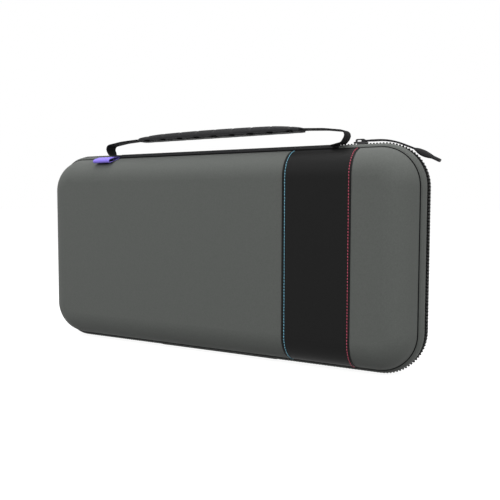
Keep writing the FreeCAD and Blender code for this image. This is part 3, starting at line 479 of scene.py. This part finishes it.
# Zip: each tooth is moulded singly over the edge of its tape. The rows end at the spine.
ZIP_START = 50.0
TOOTH_PITCH = 2.1
TOOTH_MIDDLE = 1.38
TOOTH_PLAN = (
    (-0.5, 2.1), (-0.36, 2.3), (0.36, 2.3), (0.5, 2.1), (0.48, 1.0), (0.3, 0.46),
    (-0.3, 0.46), (-0.48, 1.0),
)
TOOTH_LAYERS = ((-1.2, 1.0), (0.4, 0.95), (0.8, 0.7))


def zip_teeth(name, side, shift, body, node):
    """One row of zip teeth; side is the way from the closure in Y."""
    parts = []
    for place, way, out in case_line(0.0, TOOTH_PITCH, ZIP_START + shift):
        sections = []
        for rise, share in TOOTH_LAYERS:
            sections.append([
                place + way * (along * share) + out * rise
                + ALONG_Y * (side * (TOOTH_MIDDLE + (across - TOOTH_MIDDLE) * share))
                for along, across in TOOTH_PLAN
            ])
        parts.append(tube(sections))
    return piece(
        name, parts, [MATERIALS["zip_plastic"]], body, [node], smooth=False
    )


zip_teeth("zip_tooth_row_front", -1, 0.0, "lid", "zip_teeth_front")
zip_teeth("zip_tooth_row_rear", 1, TOOTH_PITCH / 2, "rear_case", "zip_teeth_rear")


def black_thread_and_shade_line(name, side, body):
    """Dark line of painted shade that lies in the stitched crease all round a half shell."""
    sections = [
        ring_round(place - ALONG_Y * (side * CREASE_Y), out * 0.6, ALONG_Y * 0.55, 6)
        for place, _, out in case_line(CREASE_INSET, 2.0)
    ]
    return piece(name, [tube(sections, closed=True)], [BLACK_THREAD_AND_SHADE], body)


# Painted shade: a dead black line along the crease of each half shell
black_thread_and_shade_line("crease_shade_front", -1, "lid")
black_thread_and_shade_line("crease_shade_rear", 1, "rear_case")


# Shares of a stitch's length and height that its thread passes through, and its thickness
STITCH_ARCH = (
    (-0.5, -0.35, 0.75), (-0.42, 0.5, 1.0), (-0.2, 0.95, 1.0), (0.2, 0.95, 1.0),
    (0.42, 0.5, 1.0), (0.5, -0.35, 0.75),
)


def thread_stitch(centre, way, rise, length, radius, height):
    """One stitch: a thread that comes up out of the cloth, lies on it and goes down again."""
    across = way.cross(rise)
    return tube([
        ring_round(
            centre + way * (share * length) + rise * (lift * height),
            across * (radius * thick), rise * (0.8 * radius * thick), 6,
        )
        for share, lift, thick in STITCH_ARCH
    ])


STITCH_PITCH = 1.9
STITCH_LENGTH = 1.2
STITCH_LEAN = 0.07
STITCH_OVER = 0.3  # height of the row's line over the round of the edge
STITCH_START = 0.4  # distance from the crease to the row's ends
THREAD_RADIUS = 0.2
THREAD_RISE = 0.22


def band_stitches(colour, x):
    """A row of saddle stitches down the band, over both rounded edges and the face."""
    radius = EDGE_RADIUS + STITCH_OVER
    start_angle = math.asin((ARC_Y - (CREASE_Y - STITCH_START)) / EDGE_RADIUS)
    arc_length = radius * (math.pi / 2 - start_angle)
    total = 2 * arc_length + 2 * ARC_Z
    count = int(total / STITCH_PITCH)
    spare = (total - count * STITCH_PITCH) / 2
    parts = []
    for index in range(count):
        along = spare + (index + 0.5) * STITCH_PITCH - arc_length
        if along < 0:
            angle = math.pi / 2 + along / radius
            centre_z = ARC_Z
        elif along > 2 * ARC_Z:
            angle = math.pi / 2 + (along - 2 * ARC_Z) / radius
            centre_z = -ARC_Z
        else:
            angle = math.pi / 2
            centre_z = ARC_Z - along
        rise = Vector((0, -math.sin(angle), math.cos(angle)))
        way = Vector((STITCH_LEAN, -math.cos(angle), -math.sin(angle))).normalized()
        place = Vector((x, ARC_Y, MIDDLE + centre_z)) + rise * radius
        parts.append(
            thread_stitch(place, way, rise, STITCH_LENGTH, THREAD_RADIUS, THREAD_RISE)
        )
    slot = "thread_" + colour
    return piece(
        "thread_row_" + colour, parts, [MATERIALS[slot]], "lid", ["stitching_" + colour]
    )


band_stitches("blue", 64.9)
band_stitches("red", 108.1)


# Handle: webbing loop, the flat webbing that its feet stand on, and the moulded grip
HANDLE_X = 3.0
HANDLE_Y = -7.4
HANDLE_TILT = 0.005
RIM_COVER = ((-4.2, 143.65), (-5.7, 143.3), (-7.1, 142.3), (-8.42, 141.0))
SEAT_OUTSIDE = 142.2
FOOT_TOP = 145.3  # below this height the feet leave room for the slider
SLIDER_WAY = -3.3


def seat_height(y):
    """Height of what the feet of the handle stand on."""
    if y <= RIM_COVER[-1][0]:
        return SEAT_OUTSIDE
    if y >= RIM_COVER[0][0]:
        return RIM_COVER[0][1]
    for (y0, z0), (y1, z1) in zip(RIM_COVER, RIM_COVER[1:]):
        if y1 <= y <= y0:
            return z0 + (z1 - z0) * (y0 - y) / (y0 - y1)
    return RIM_COVER[0][1]


def handle_at(x, rise):
    """Place in the handle's plane: X from its middle and height over the rim."""
    return Vector((HANDLE_X + x, HANDLE_Y, RIM_TOP + rise + HANDLE_TILT * x))


STRAP_SIDE = ((87.5, -1.1), (95.2, 0.5), (99.5, 7.5), (83.0, 9.75), (69.0, 10.5))
STRAP_BENDS = (2.6, 3.0, 60.0, 60.0)
STRAP_HALF = 5.0
STRAP_THICK = 0.85


def handle_webbing():
    """Webbing loop whose feet lie down on the rim."""
    right = [handle_at(x, rise) for x, rise in STRAP_SIDE]
    left = [handle_at(-x, rise) for x, rise in reversed(STRAP_SIDE)]
    line = rounded_run(right + left, STRAP_BENDS + STRAP_BENDS[::-1], 1.5)
    sections = strip_sections(line, ALONG_Y, STRAP_HALF, STRAP_THICK)
    for section in sections:
        for point in section:
            if point.z < FOOT_TOP:
                point.y = min(point.y, SLIDER_WAY)
                point.z = max(point.z, seat_height(point.y) + 0.02)
    return piece(
        "handle_webbing", [tube(sections)], [MATERIALS["webbing"]], "lid",
        ["handle_strap"],
    )


handle_webbing()


# Place across the rim, height and radius of the dark line on each edge; the lower one is painted
# shade from the crease
BASE_EDGES = ((-4.35, 143.62, 0.3), (-8.3, 141.15, 0.42))
BASE_START = -86.0
BASE_STEP = 2.006
BASE_STEPS = 91


def base_edges():
    """Black lines along both edges of the flat webbing on the rim; the lower one is painted shade
    where the webbing meets the crease.
    """
    parts = []
    for y, z, radius in BASE_EDGES:
        parts.append(tube([
            ring_round(
                Vector((BASE_START + BASE_STEP * index, y, z)),
                ALONG_Y * radius, Vector((0, 0, radius)), 8,
            )
            for index in range(BASE_STEPS)
        ]))
    return piece("base_edge_lines_and_crease_shade", parts, [BLACK_THREAD_AND_SHADE], "lid")


base_edges()

GRIP_HALF = 66.0
GRIP_RISE = 10.5  # height of the webbing's line in the grip over the rim
GRIP_SOLE = -1.45  # heights of the grip's parts over that line
GRIP_SEAM = -0.3
GRIP_TOP = 3.25
GRIP_FALL = 1.95  # from the back to its ends, over the last run
GRIP_RUN = 20.0
GRIP_NICKS = 9
GRIP_PITCH = 14.6
GRIP_SHIFT = 1.2
GRIP_STEP = 0.6
GRIP_STEPS = 220


def grip_top(x):
    """Height of the grip's back over the webbing's line."""
    shoulder = GRIP_HALF - GRIP_RUN
    if abs(x) <= shoulder:
        return GRIP_TOP + 0.55 * (1 - (x / shoulder) ** 2)
    share = (abs(x) - shoulder) / GRIP_RUN
    return GRIP_TOP - GRIP_FALL * share + share * (1 - share)


def from_nick(x):
    """Distance along the grip to the nearest nick."""
    return min(
        abs(x - ((index - (GRIP_NICKS - 1) / 2) * GRIP_PITCH + GRIP_SHIFT))
        for index in range(GRIP_NICKS)
    )


def grip_section(x):
    """Ring of points round the grip at one place along it, with its marks: each place has its
    distance from the middle and its height."""
    top = grip_top(x)
    tall = top - GRIP_SEAM
    draw_in = 1.0 - 0.16 * max(0.0, (abs(x) - 62.5) / 3.5) ** 2
    half = [
        (0.0, GRIP_SOLE), (2.6, GRIP_SOLE), (4.6, GRIP_SOLE), (5.6, GRIP_SOLE + 0.12),
        (6.05, GRIP_SOLE + 0.42), (6.2, GRIP_SOLE + 0.78), (6.18, GRIP_SEAM - 0.22),
        (5.75, GRIP_SEAM), (6.15, GRIP_SEAM + 0.22), (6.2, GRIP_SEAM + 0.35 * tall),
        (6.05, GRIP_SEAM + 0.62 * tall), (5.6, GRIP_SEAM + 0.82 * tall),
        (4.9, GRIP_SEAM + 0.93 * tall), (3.9, GRIP_SEAM + 0.98 * tall),
        (2.2, top), (0.8, top),
    ]
    near = from_nick(x)
    nick = 0.6 * max(0.0, 1 - (near / 1.05) ** 2)
    dent = max(0.0, 1 - (near / 2.6) ** 2)
    ring = []
    for index, (across, rise) in enumerate(half):
        if index >= 10:  # the back
            across *= 1 - 0.03 * nick
            rise -= 1.15 * nick
        elif index in (3, 4, 5):  # the lower flank
            across -= 1.25 * dent
            rise += 0.25 * dent
        elif index == 2:  # the sole's edge
            across -= 0.5 * dent
        ring.append((across * draw_in, rise))
    return ring + [(-across, rise) for across, rise in reversed(ring[1:])]


# How far from a nick the faces of its dent take the painted shade, by their place round the
# section
DENT_REACH = {1: 1.5, 2: 2.4, 3: 2.6, 4: 2.0}


def rubber_grip():
    """Moulded grip with cross nicks on its back, a seam on each flank and an oval dent under
    every nick."""
    places = [-GRIP_HALF + GRIP_STEP * index for index in range(GRIP_STEPS + 1)]
    sections = []
    for x in places:
        base = handle_at(x, GRIP_RISE)
        sections.append([
            base + Vector((0, across, rise)) for across, rise in grip_section(x)
        ])
    points, faces = tube(sections)
    count = len(sections[0])
    plain = []
    dark = []
    # Faces of a dent near its nick take the painted shade
    for number, face in enumerate(faces):
        ring, index = divmod(number, count)
        near = from_nick(places[min(ring, GRIP_STEPS)] + GRIP_STEP / 2)
        reach = DENT_REACH.get(min(index, count - 1 - index), 0.0)
        (dark if near < reach else plain).append(face)
    item = piece(
        "moulded_grip", [(points, plain + dark)],
        [MATERIALS["grip_rubber"], DENT_PAINTED_SHADE], "lid", ["handle_grip"],
    )
    for polygon in item.data.polygons[len(plain):]:
        polygon.material_index = 1
    return item


rubber_grip()


# Ribbon tag, folded over on itself and caught in the crease by both ends. The run gives its
# lower layer, the fold and its upper layer, as distances from where it is caught.
TAG_X = -92.5
TAG_BACK = CREASE_Y + 0.24
TAG_SEAT = RIM_TOP - 2.6 + 0.405
TAG_RUN = ((0, 0), (-12.5, -4.5), (-12.125, -1.8), (-5.875, 0.36), (0, 0.675))
TAG_BENDS = (1.1, 1.1, 10.0)
TAG_HALF = 8.0
TAG_THICK = 0.4


def ribbon_tag():
    """Violet ribbon, with painted shade on its faces inside the fold."""
    run = [Vector((TAG_X, TAG_BACK + y, TAG_SEAT + z)) for y, z in TAG_RUN]
    line = rounded_run(run, TAG_BENDS, 0.5)
    sections = strip_sections(line, ALONG_X, TAG_HALF, TAG_THICK)
    item = piece(
        "ribbon_tag", [tube(sections)], [MATERIALS["ribbon"], RIBBON_FOLD_SHADE], "lid",
        ["side_tag"],
    )
    # Faces that look into the fold take the painted shade
    inside = Vector((0, TAG_BACK - 7, TAG_SEAT - 1.6)) * MM
    for polygon in item.data.polygons:
        towards = inside - polygon.center
        towards.x = 0
        if polygon.normal.dot(towards.normalized()) > 0.3:
            polygon.material_index = 1


ribbon_tag()


# Fabric spine between the two halves; it bends when the lid opens, but here it is drawn only as
# it lies flat under the closed case
SPINE_FRONT = -2.8
SPINE_REAR = 6.9
SPINE_STEP = 0.35
SPINE_HALF = 49.5
SPINE_THICK = 0.8
SPINE_SHARE = 0.94  # of that thickness, which keeps the cloth just off the floor


def cloth_spine():
    """Strip of cloth under the closed case."""
    line = [
        Vector((0, SPINE_FRONT + SPINE_STEP * index, SPINE_THICK / 2)) for index in range(28)
    ]
    line[-1].y = SPINE_REAR
    section = [(across, up * SPINE_SHARE) for across, up in STRIP_SECTION]
    sections = strip_sections(line, ALONG_X, SPINE_HALF, SPINE_THICK, section)
    item = piece(
        "cloth_spine", [tube(sections)], [MATERIALS["spine_fabric"]], "rear_case",
        ["spine_strip"],
    )
    item.parent = None
    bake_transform(item)


cloth_spine()


# Inside: hold-down strap, padded flap, card pockets and mesh pocket
ELASTIC_FOLDS = (11.0, 133.1)  # heights of the seams at the strap's ends
ELASTIC_Y = 3.1
ELASTIC_LOW = 7.05
ELASTIC_STEP = 1.3
ELASTIC_HALF = 12.5
ELASTIC_THICK = 0.95


def hold_down():
    """Elastic band across the tray with a sewn fold at both ends."""
    line = [Vector((0, ELASTIC_Y, ELASTIC_LOW + ELASTIC_STEP * index)) for index in range(101)]
    sections = strip_sections(line, ALONG_X, ELASTIC_HALF, ELASTIC_THICK)
    threads = [
        thread_stitch(
            Vector((-10.0 + 2.8 * index, 2.6, height)), ALONG_X, -ALONG_Y, 2.0, 0.22, 0.12
        )
        for height in ELASTIC_FOLDS for index in range(8)
    ]
    item = piece(
        "elastic_band", [tube(sections)] + threads, [MATERIALS["elastic"], BLACK_THREAD_AND_SHADE],
        "rear_case", ["hold_down_strap"],
    )


hold_down()

FLAP_HALF_X = 118.0
FLAP_HALF_Z = 52.0
FLAP_CORNER = 10.0
# Inset from the flap's outline and place in Y, from its inner face round the piped edge to
# the face that carries the cards
FLAP_CROWN = (
    (45.0, -7.1), (30.0, -7.05), (18.0, -6.9), (10.0, -6.6), (5.0, -6.3), (2.6, -6.15),
    (2.0, -6.1), (1.7, -6.45), (0.9, -6.7), (0.15, -6.35), (0.0, -5.7), (0.15, -5.05),
    (0.9, -4.7), (1.7, -4.95), (2.0, -5.1), (4.0, -4.6), (8.0, -4.3), (45.0, -4.25),
)


def flap_ring(inset, y, count=24):
    """Points round the flap's outline at an inset, with count of them in each corner."""
    radius = max(FLAP_CORNER - inset, 0.5)
    reach_x = FLAP_HALF_X - inset - radius
    reach_z = FLAP_HALF_Z - inset - radius
    points = []
    for quarter, (side_x, side_z) in enumerate(((1, 1), (-1, 1), (-1, -1), (1, -1))):
        for step in range(count):
            turn = math.pi / 2 * (quarter + step / (count - 1))
            points.append(Vector((
                side_x * reach_x + radius * math.cos(turn), y,
                MIDDLE + side_z * reach_z + radius * math.sin(turn),
            )))
    return points


def padded_flap():
    """Padded flap, crowned on both faces, with a piped edge and the tape that it hangs by."""
    tape = [Vector((0, -5.7, 5.1 + index)) for index in range(17)]
    parts = [
        tube([flap_ring(inset, y) for inset, y in FLAP_CROWN]),
        tube(strip_sections(tape, ALONG_X, 107.8, 0.9)),
    ]
    item = piece(
        "padded_flap", parts, [MATERIALS["panel_lining"], MATERIALS["elastic"]], "lid",
        ["card_panel"],
    )


padded_flap()

CARD_BOTTOMS = (35.05, 79.05)  # heights of the two rows
CARD_TALL = 30.0
CARD_ROWS = 15  # rows of faces in a row of pockets
CARD_HALF = 108.0
CARD_COLUMNS = 216
CARD_POCKET = 43.2  # width of one pocket
CARD_POCKETS = 5
CARD_BACK = -3.92  # face of the cloth where it is sewn down
CARD_LIMIT = -3.02  # the cloth swells no further than this
CARD_CLOTH = 0.32


def card_point(layer, row, column, bottom):
    """Place on a row of card pockets: the mouth dips and the cloth swells between seams."""
    x = column - CARD_HALF
    cell = column % CARD_POCKET
    from_middle = abs(cell - CARD_POCKET / 2)
    dip = 4.5 / (1 + math.exp((from_middle - 7.5) / 0.8))
    swell = 0.55 * math.sin(math.pi * cell / CARD_POCKET) ** 0.5 * min(1.0, row / 3)
    hem = 0.18 if layer and row >= CARD_ROWS - 1 else 0.0
    y = min(CARD_BACK + swell + hem + CARD_CLOTH * layer, CARD_LIMIT)
    return Vector((x, y, bottom + (CARD_TALL - dip) * row / CARD_ROWS))


def card_row(bottom):
    """Points and faces of one row of pockets, as thin cloth with its edges closed."""
    wide = CARD_COLUMNS + 1
    deep = (CARD_ROWS + 1) * wide
    points = [
        card_point(layer, row, column, bottom)
        for layer in (0, 1) for row in range(CARD_ROWS + 1) for column in range(wide)
    ]
    faces = []
    for row in range(CARD_ROWS):
        for column in range(CARD_COLUMNS):
            here = row * wide + column
            faces.append((here, here + 1, here + wide + 1, here + wide))
            faces.append((
                deep + here, deep + here + wide, deep + here + wide + 1, deep + here + 1
            ))
        for column in (0, CARD_COLUMNS):
            here = row * wide + column
            faces.append((here, here + wide, deep + here + wide, deep + here))
    for column in range(CARD_COLUMNS):
        for row in (0, CARD_ROWS):
            here = row * wide + column
            faces.append((here, deep + here, deep + here + 1, here + 1))
    return points, faces


def card_rows():
    """Two rows of card pockets: thin cloth sewn down between the pockets, with dipped mouths."""
    lower, upper = (card_row(bottom) for bottom in CARD_BOTTOMS)
    threads = [
        thread_stitch(
            Vector((CARD_POCKET * seam - CARD_HALF, -3.66, bottom + 2.0 + 3.2 * index)),
            Vector((0, 0, 1)), ALONG_Y, 2.2, 0.2, 0.15,
        )
        for bottom in CARD_BOTTOMS for seam in range(1, CARD_POCKETS) for index in range(9)
    ]
    item = piece(
        "card_rows", [lower, *threads], [MATERIALS["card_cloth"], BLACK_THREAD_AND_SHADE], "lid",
        ["card_pockets"],
    )
    above = piece("card_row_upper", [upper], [MATERIALS["card_cloth"]], "lid")


card_rows()

NET_HALF = 116
NET_LOW = 26.05
NET_TALL = 84
NET_CELL = 4.0
NET_Y = -17.2
NET_STRAND = 0.9
TURNED_EDGE = 2.5  # width of the edge that turns down to the shell
TURNED_DEPTH = 2.9


def net_point(column, row, wide, tall):
    """Place of one crossing of the net; its sides and foot turn down to the shell."""
    x = -NET_HALF + column * 2 * NET_HALF / wide
    z = NET_LOW + row * NET_TALL / tall
    edge = min(NET_HALF - abs(x), z - NET_LOW)
    return Vector((x, NET_Y - TURNED_DEPTH * max(0.0, 1 - edge / TURNED_EDGE), z)) * MM


def mesh_pocket():
    """Knitted mesh with open holes, as strands along the diagonals of a grid. Its cells are
    drawn as coarse as they need to be to show."""
    wide = int(2 * NET_HALF / NET_CELL)
    tall = int(NET_TALL / NET_CELL)
    work = bmesh.new()
    rows = [
        [work.verts.new(net_point(column, row, wide, tall)) for column in range(wide + 1)]
        for row in range(tall + 1)
    ]
    for row in range(tall):
        for column in range(wide):
            corners = (
                rows[row][column], rows[row][column + 1], rows[row + 1][column + 1],
                rows[row + 1][column],
            )
            centre = sum((corner.co for corner in corners), Vector()) / 4
            middle = work.verts.new(centre)
            for index in range(4):
                work.faces.new((corners[index], corners[(index + 1) % 4], middle))
    straight = [
        edge for edge in work.edges
        if len(edge.link_faces) == 2
        and (abs(edge.verts[0].co.x - edge.verts[1].co.x) < 1e-7
             or abs(edge.verts[0].co.z - edge.verts[1].co.z) < 1e-7)
    ]
    bmesh.ops.dissolve_edges(work, edges=straight, use_verts=False)
    mesh = bpy.data.meshes.new("mesh_net")
    work.to_mesh(mesh)
    work.free()
    mesh.materials.append(MATERIALS["mesh"])
    item = bpy.data.objects.new("mesh_net", mesh)
    bpy.context.scene.collection.objects.link(item)
    wires = item.modifiers.new("net", "WIREFRAME")
    wires.thickness = NET_STRAND * MM
    wires.use_even_offset = False
    wires.offset = 0.0
    graph = bpy.context.evaluated_depsgraph_get()
    strands = bpy.data.meshes.new_from_object(item.evaluated_get(graph))
    item.modifiers.clear()
    item.data = strands
    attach(item, "lid")
    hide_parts("lid_pocket")


mesh_pocket()


BINDING_Y = -16.3
BINDING_Z = 106.05
BINDING_HALF = 3.98
BINDING_THICK = 0.62  # half of its thickness
BINDING_RIPPLE = 0.012


def mouth_binding():
    """Elastic binding folded over the mouth of the mesh pocket, a little rippled."""
    sections = []
    for number in range(117):
        place = Vector((-NET_HALF + 2.0 * number, BINDING_Y, BINDING_Z))
        thick = BINDING_THICK + BINDING_RIPPLE * math.sin(number * 1.7)
        sections.append([
            place + Vector((0, thick * up, BINDING_HALF * across))
            for across, up in STRIP_SECTION
        ])
    piece(
        "mouth_binding", [tube(sections)], [MATERIALS["binding"]], "lid",
        ["pocket_binding"],
    )


mouth_binding()


# Pull: flexible neck with its eye, and the moulded end
PIVOT = Vector((108.0, 0, 145.75))
NECK_RUN = ((0, 0), (18.4, 0), (33.0, -6.15))
PULL_END = (48.5, -13.9)
NECK_START = 5.2
NECK_BEND = 41.0
NECK_HALF = 2.0
NECK_THICK = 0.96
PRONG_Y = 1.55
PRONG_HALF = 0.45
RAIL_Y = 1.7
RAIL_HALF = 0.3
RAIL_THICK = 1.1
# A section between a circle and a square
ROUND_SECTION = tuple(
    (
        math.copysign(abs(math.cos(turn)) ** 0.55, math.cos(turn)),
        math.copysign(abs(math.sin(turn)) ** 0.55, math.sin(turn)),
    )
    for turn in (index * math.pi / 10 for index in range(20))
)


# Stations along the moulded end: share of its length, reach over and under its line, and half
# of its width
END_STATIONS = (
    (0.0, 0.5, 0.5, 2.0), (0.05, 0.95, 0.9, 2.1), (0.12, 1.3, 1.35, 2.15),
    (0.2, 1.6, 1.85, 2.2), (0.33, 1.8, 2.2, 2.2), (0.45, 1.75, 2.1, 2.2),
    (0.56, 1.5, 1.75, 2.2), (0.66, 1.2, 1.3, 2.15), (0.72, 1.05, 1.05, 2.1),
    (0.8, 1.05, 1.05, 2.1), (0.9, 1.05, 1.05, 2.1), (0.975, 1.05, 1.05, 2.1),
    (0.992, 1.0, 1.0, 2.05), (1.0, 0.88, 0.88, 1.9),
)


def pull_neck():
    """Two prongs with the bar that runs through the bail, and the neck with raised edges."""
    run = [PIVOT + Vector((x, 0, z)) for x, z in NECK_RUN]
    line = rounded_run([PIVOT + ALONG_X * NECK_START, *run[1:]], (NECK_BEND,), 0.8)
    parts = [tube(strip_sections(line, ALONG_Y, NECK_HALF, NECK_THICK, ROUND_SECTION))]
    for side in (-1, 1):
        prong = [PIVOT + Vector((0.7 * index - 0.3, side * PRONG_Y, 0)) for index in range(10)]
        parts.append(tube(
            strip_sections(prong, ALONG_Y, PRONG_HALF, NECK_THICK, ROUND_SECTION)
        ))
        rail = [point + ALONG_Y * (side * RAIL_Y) for point in line]
        parts.append(tube(strip_sections(rail, ALONG_Y, RAIL_HALF, RAIL_THICK, ROUND_SECTION)))
    parts.append(tube([
        ring_round(PIVOT + ALONG_Y * (0.38 * index - 1.9), ALONG_X * 0.5, Vector((0, 0, 0.5)), 12)
        for index in range(11)
    ]))
    item = piece(
        "neck_of_pull", parts, [MATERIALS["pull_strap"]], "pull", ["pull_loop"]
    )
    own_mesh(item)


def pull_end():
    """Moulded end: a hump for the fingers and a thinner tail."""
    start = PIVOT + Vector((NECK_RUN[-1][0], 0, NECK_RUN[-1][1]))
    end = PIVOT + Vector((PULL_END[0], 0, PULL_END[1]))
    way = (end - start).normalized()
    rise = Vector((-way.z, 0, way.x))
    length = (end - start).length
    sections = []
    for share, over, under, wide in END_STATIONS:
        centre = start + way * (share * length)
        sections.append([
            centre + Vector((0, wide * across, 0)) + rise * (up * (over if up > 0 else under))
            for across, up in ROUND_SECTION
        ])
    item = piece(
        "end_of_pull", [tube(sections)], [MATERIALS["pull_rubber"]], "pull",
        ["pull_grip"],
    )
    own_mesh(item)


pull_neck()
pull_end()


# Camera, set from the perspective of the photograph
CAMERA_PLACE = Vector((0.25905, -0.39976, 0.10433))
CAMERA_YAW = -30.26
CAMERA_PITCH = -3.74
CAMERA_ROLL = 0.15
CAMERA_LENS = 47.8
SENSOR_WIDTH = 36

# Share of white that the floor gives off to the camera; its shadow darkens what is left
FLOOR_GLOW = 0.92
FLOOR_SIZE = 30
WORLD_LIGHT = 0.5
# Name, place, size and power of each lamp; all face the middle of the case
LAMP_AIM = (0, 0, 0.07)
LAMPS = (
    ("key", (-0.3, -1.1, 0.9), 0.9, 8.6),
    ("side", (1.2, -0.5, 0.6), 0.8, 7),
    ("top", (0, 0, 1.3), 1.0, 11),
)


def set_camera():
    """The camera of the main view."""
    data = bpy.data.cameras.new("main_camera")
    data.lens = CAMERA_LENS
    data.sensor_width = SENSOR_WIDTH
    data.clip_start = 0.01
    data.clip_end = 20
    camera = bpy.data.objects.new("main_camera", data)
    yaw = math.radians(CAMERA_YAW)
    pitch = math.radians(CAMERA_PITCH)
    ahead = Vector((
        math.sin(yaw) * math.cos(pitch), math.cos(yaw) * math.cos(pitch), math.sin(pitch)
    ))
    turn = ahead.to_track_quat("-Z", "Y").to_matrix().to_4x4()
    roll = Matrix.Rotation(-math.radians(CAMERA_ROLL), 4, ahead)
    camera.matrix_world = Matrix.Translation(CAMERA_PLACE) @ roll @ turn
    bpy.context.scene.collection.objects.link(camera)
    bpy.context.scene.camera = camera


def pale_floor():
    """Pale floor that is white to the camera and in reflections, and keeps the shadow."""
    bpy.ops.mesh.primitive_plane_add(size=FLOOR_SIZE, location=(0, 0, 0))
    floor = bpy.context.object
    floor.name = "floor"
    material, tree, output = blank_material("white_paper")
    paper = add(tree, "ShaderNodeBsdfDiffuse", {"Color": linear(FLOOR_GREY)})
    rays = add(tree, "ShaderNodeLightPath")
    seen = rays.outputs["Is Camera Ray"]
    for ray in ("Is Glossy Ray", "Is Transmission Ray"):
        seen = add(tree, "ShaderNodeMath", {0: seen, 1: rays.outputs[ray]},
                   operation="MAXIMUM").outputs[0]
    power = add(tree, "ShaderNodeMath", {0: seen, 1: FLOOR_GLOW}, operation="MULTIPLY")
    glow = add(tree, "ShaderNodeEmission", {"Color": linear(WHITE), "Strength": power})
    both = add(tree, "ShaderNodeAddShader", {0: paper, 1: glow})
    tree.links.new(both.outputs[0], output.inputs["Surface"])
    floor.data.materials.append(material)


def white_world():
    """White to the camera, a plain soft grey to everything else."""
    world = bpy.data.worlds.new("studio")
    world.use_nodes = True
    bpy.context.scene.world = world
    tree = world.node_tree
    tree.nodes.clear()
    output = add(tree, "ShaderNodeOutputWorld")
    soft = add(tree, "ShaderNodeBackground", {"Color": linear(WHITE), "Strength": WORLD_LIGHT})
    white = add(tree, "ShaderNodeBackground", {"Color": linear(WHITE), "Strength": 1.0})
    seen = add(tree, "ShaderNodeLightPath").outputs["Is Camera Ray"]
    mix = add(tree, "ShaderNodeMixShader", {0: seen, 1: soft, 2: white})
    tree.links.new(mix.outputs[0], output.inputs["Surface"])


def area_lamp(name, place, size, power):
    """A square soft lamp that faces the case."""
    data = bpy.data.lights.new(name, "AREA")
    data.shape = "SQUARE"
    data.size = size
    data.energy = power
    lamp = bpy.data.objects.new(name, data)
    lamp.location = place
    lamp.rotation_euler = (Vector(LAMP_AIM) - Vector(place)).to_track_quat("-Z", "Y").to_euler()
    bpy.context.scene.collection.objects.link(lamp)


set_camera()
pale_floor()
white_world()
for lamp_measures in LAMPS:
    area_lamp(*lamp_measures)
bpy.context.scene.view_settings.view_transform = "Standard"
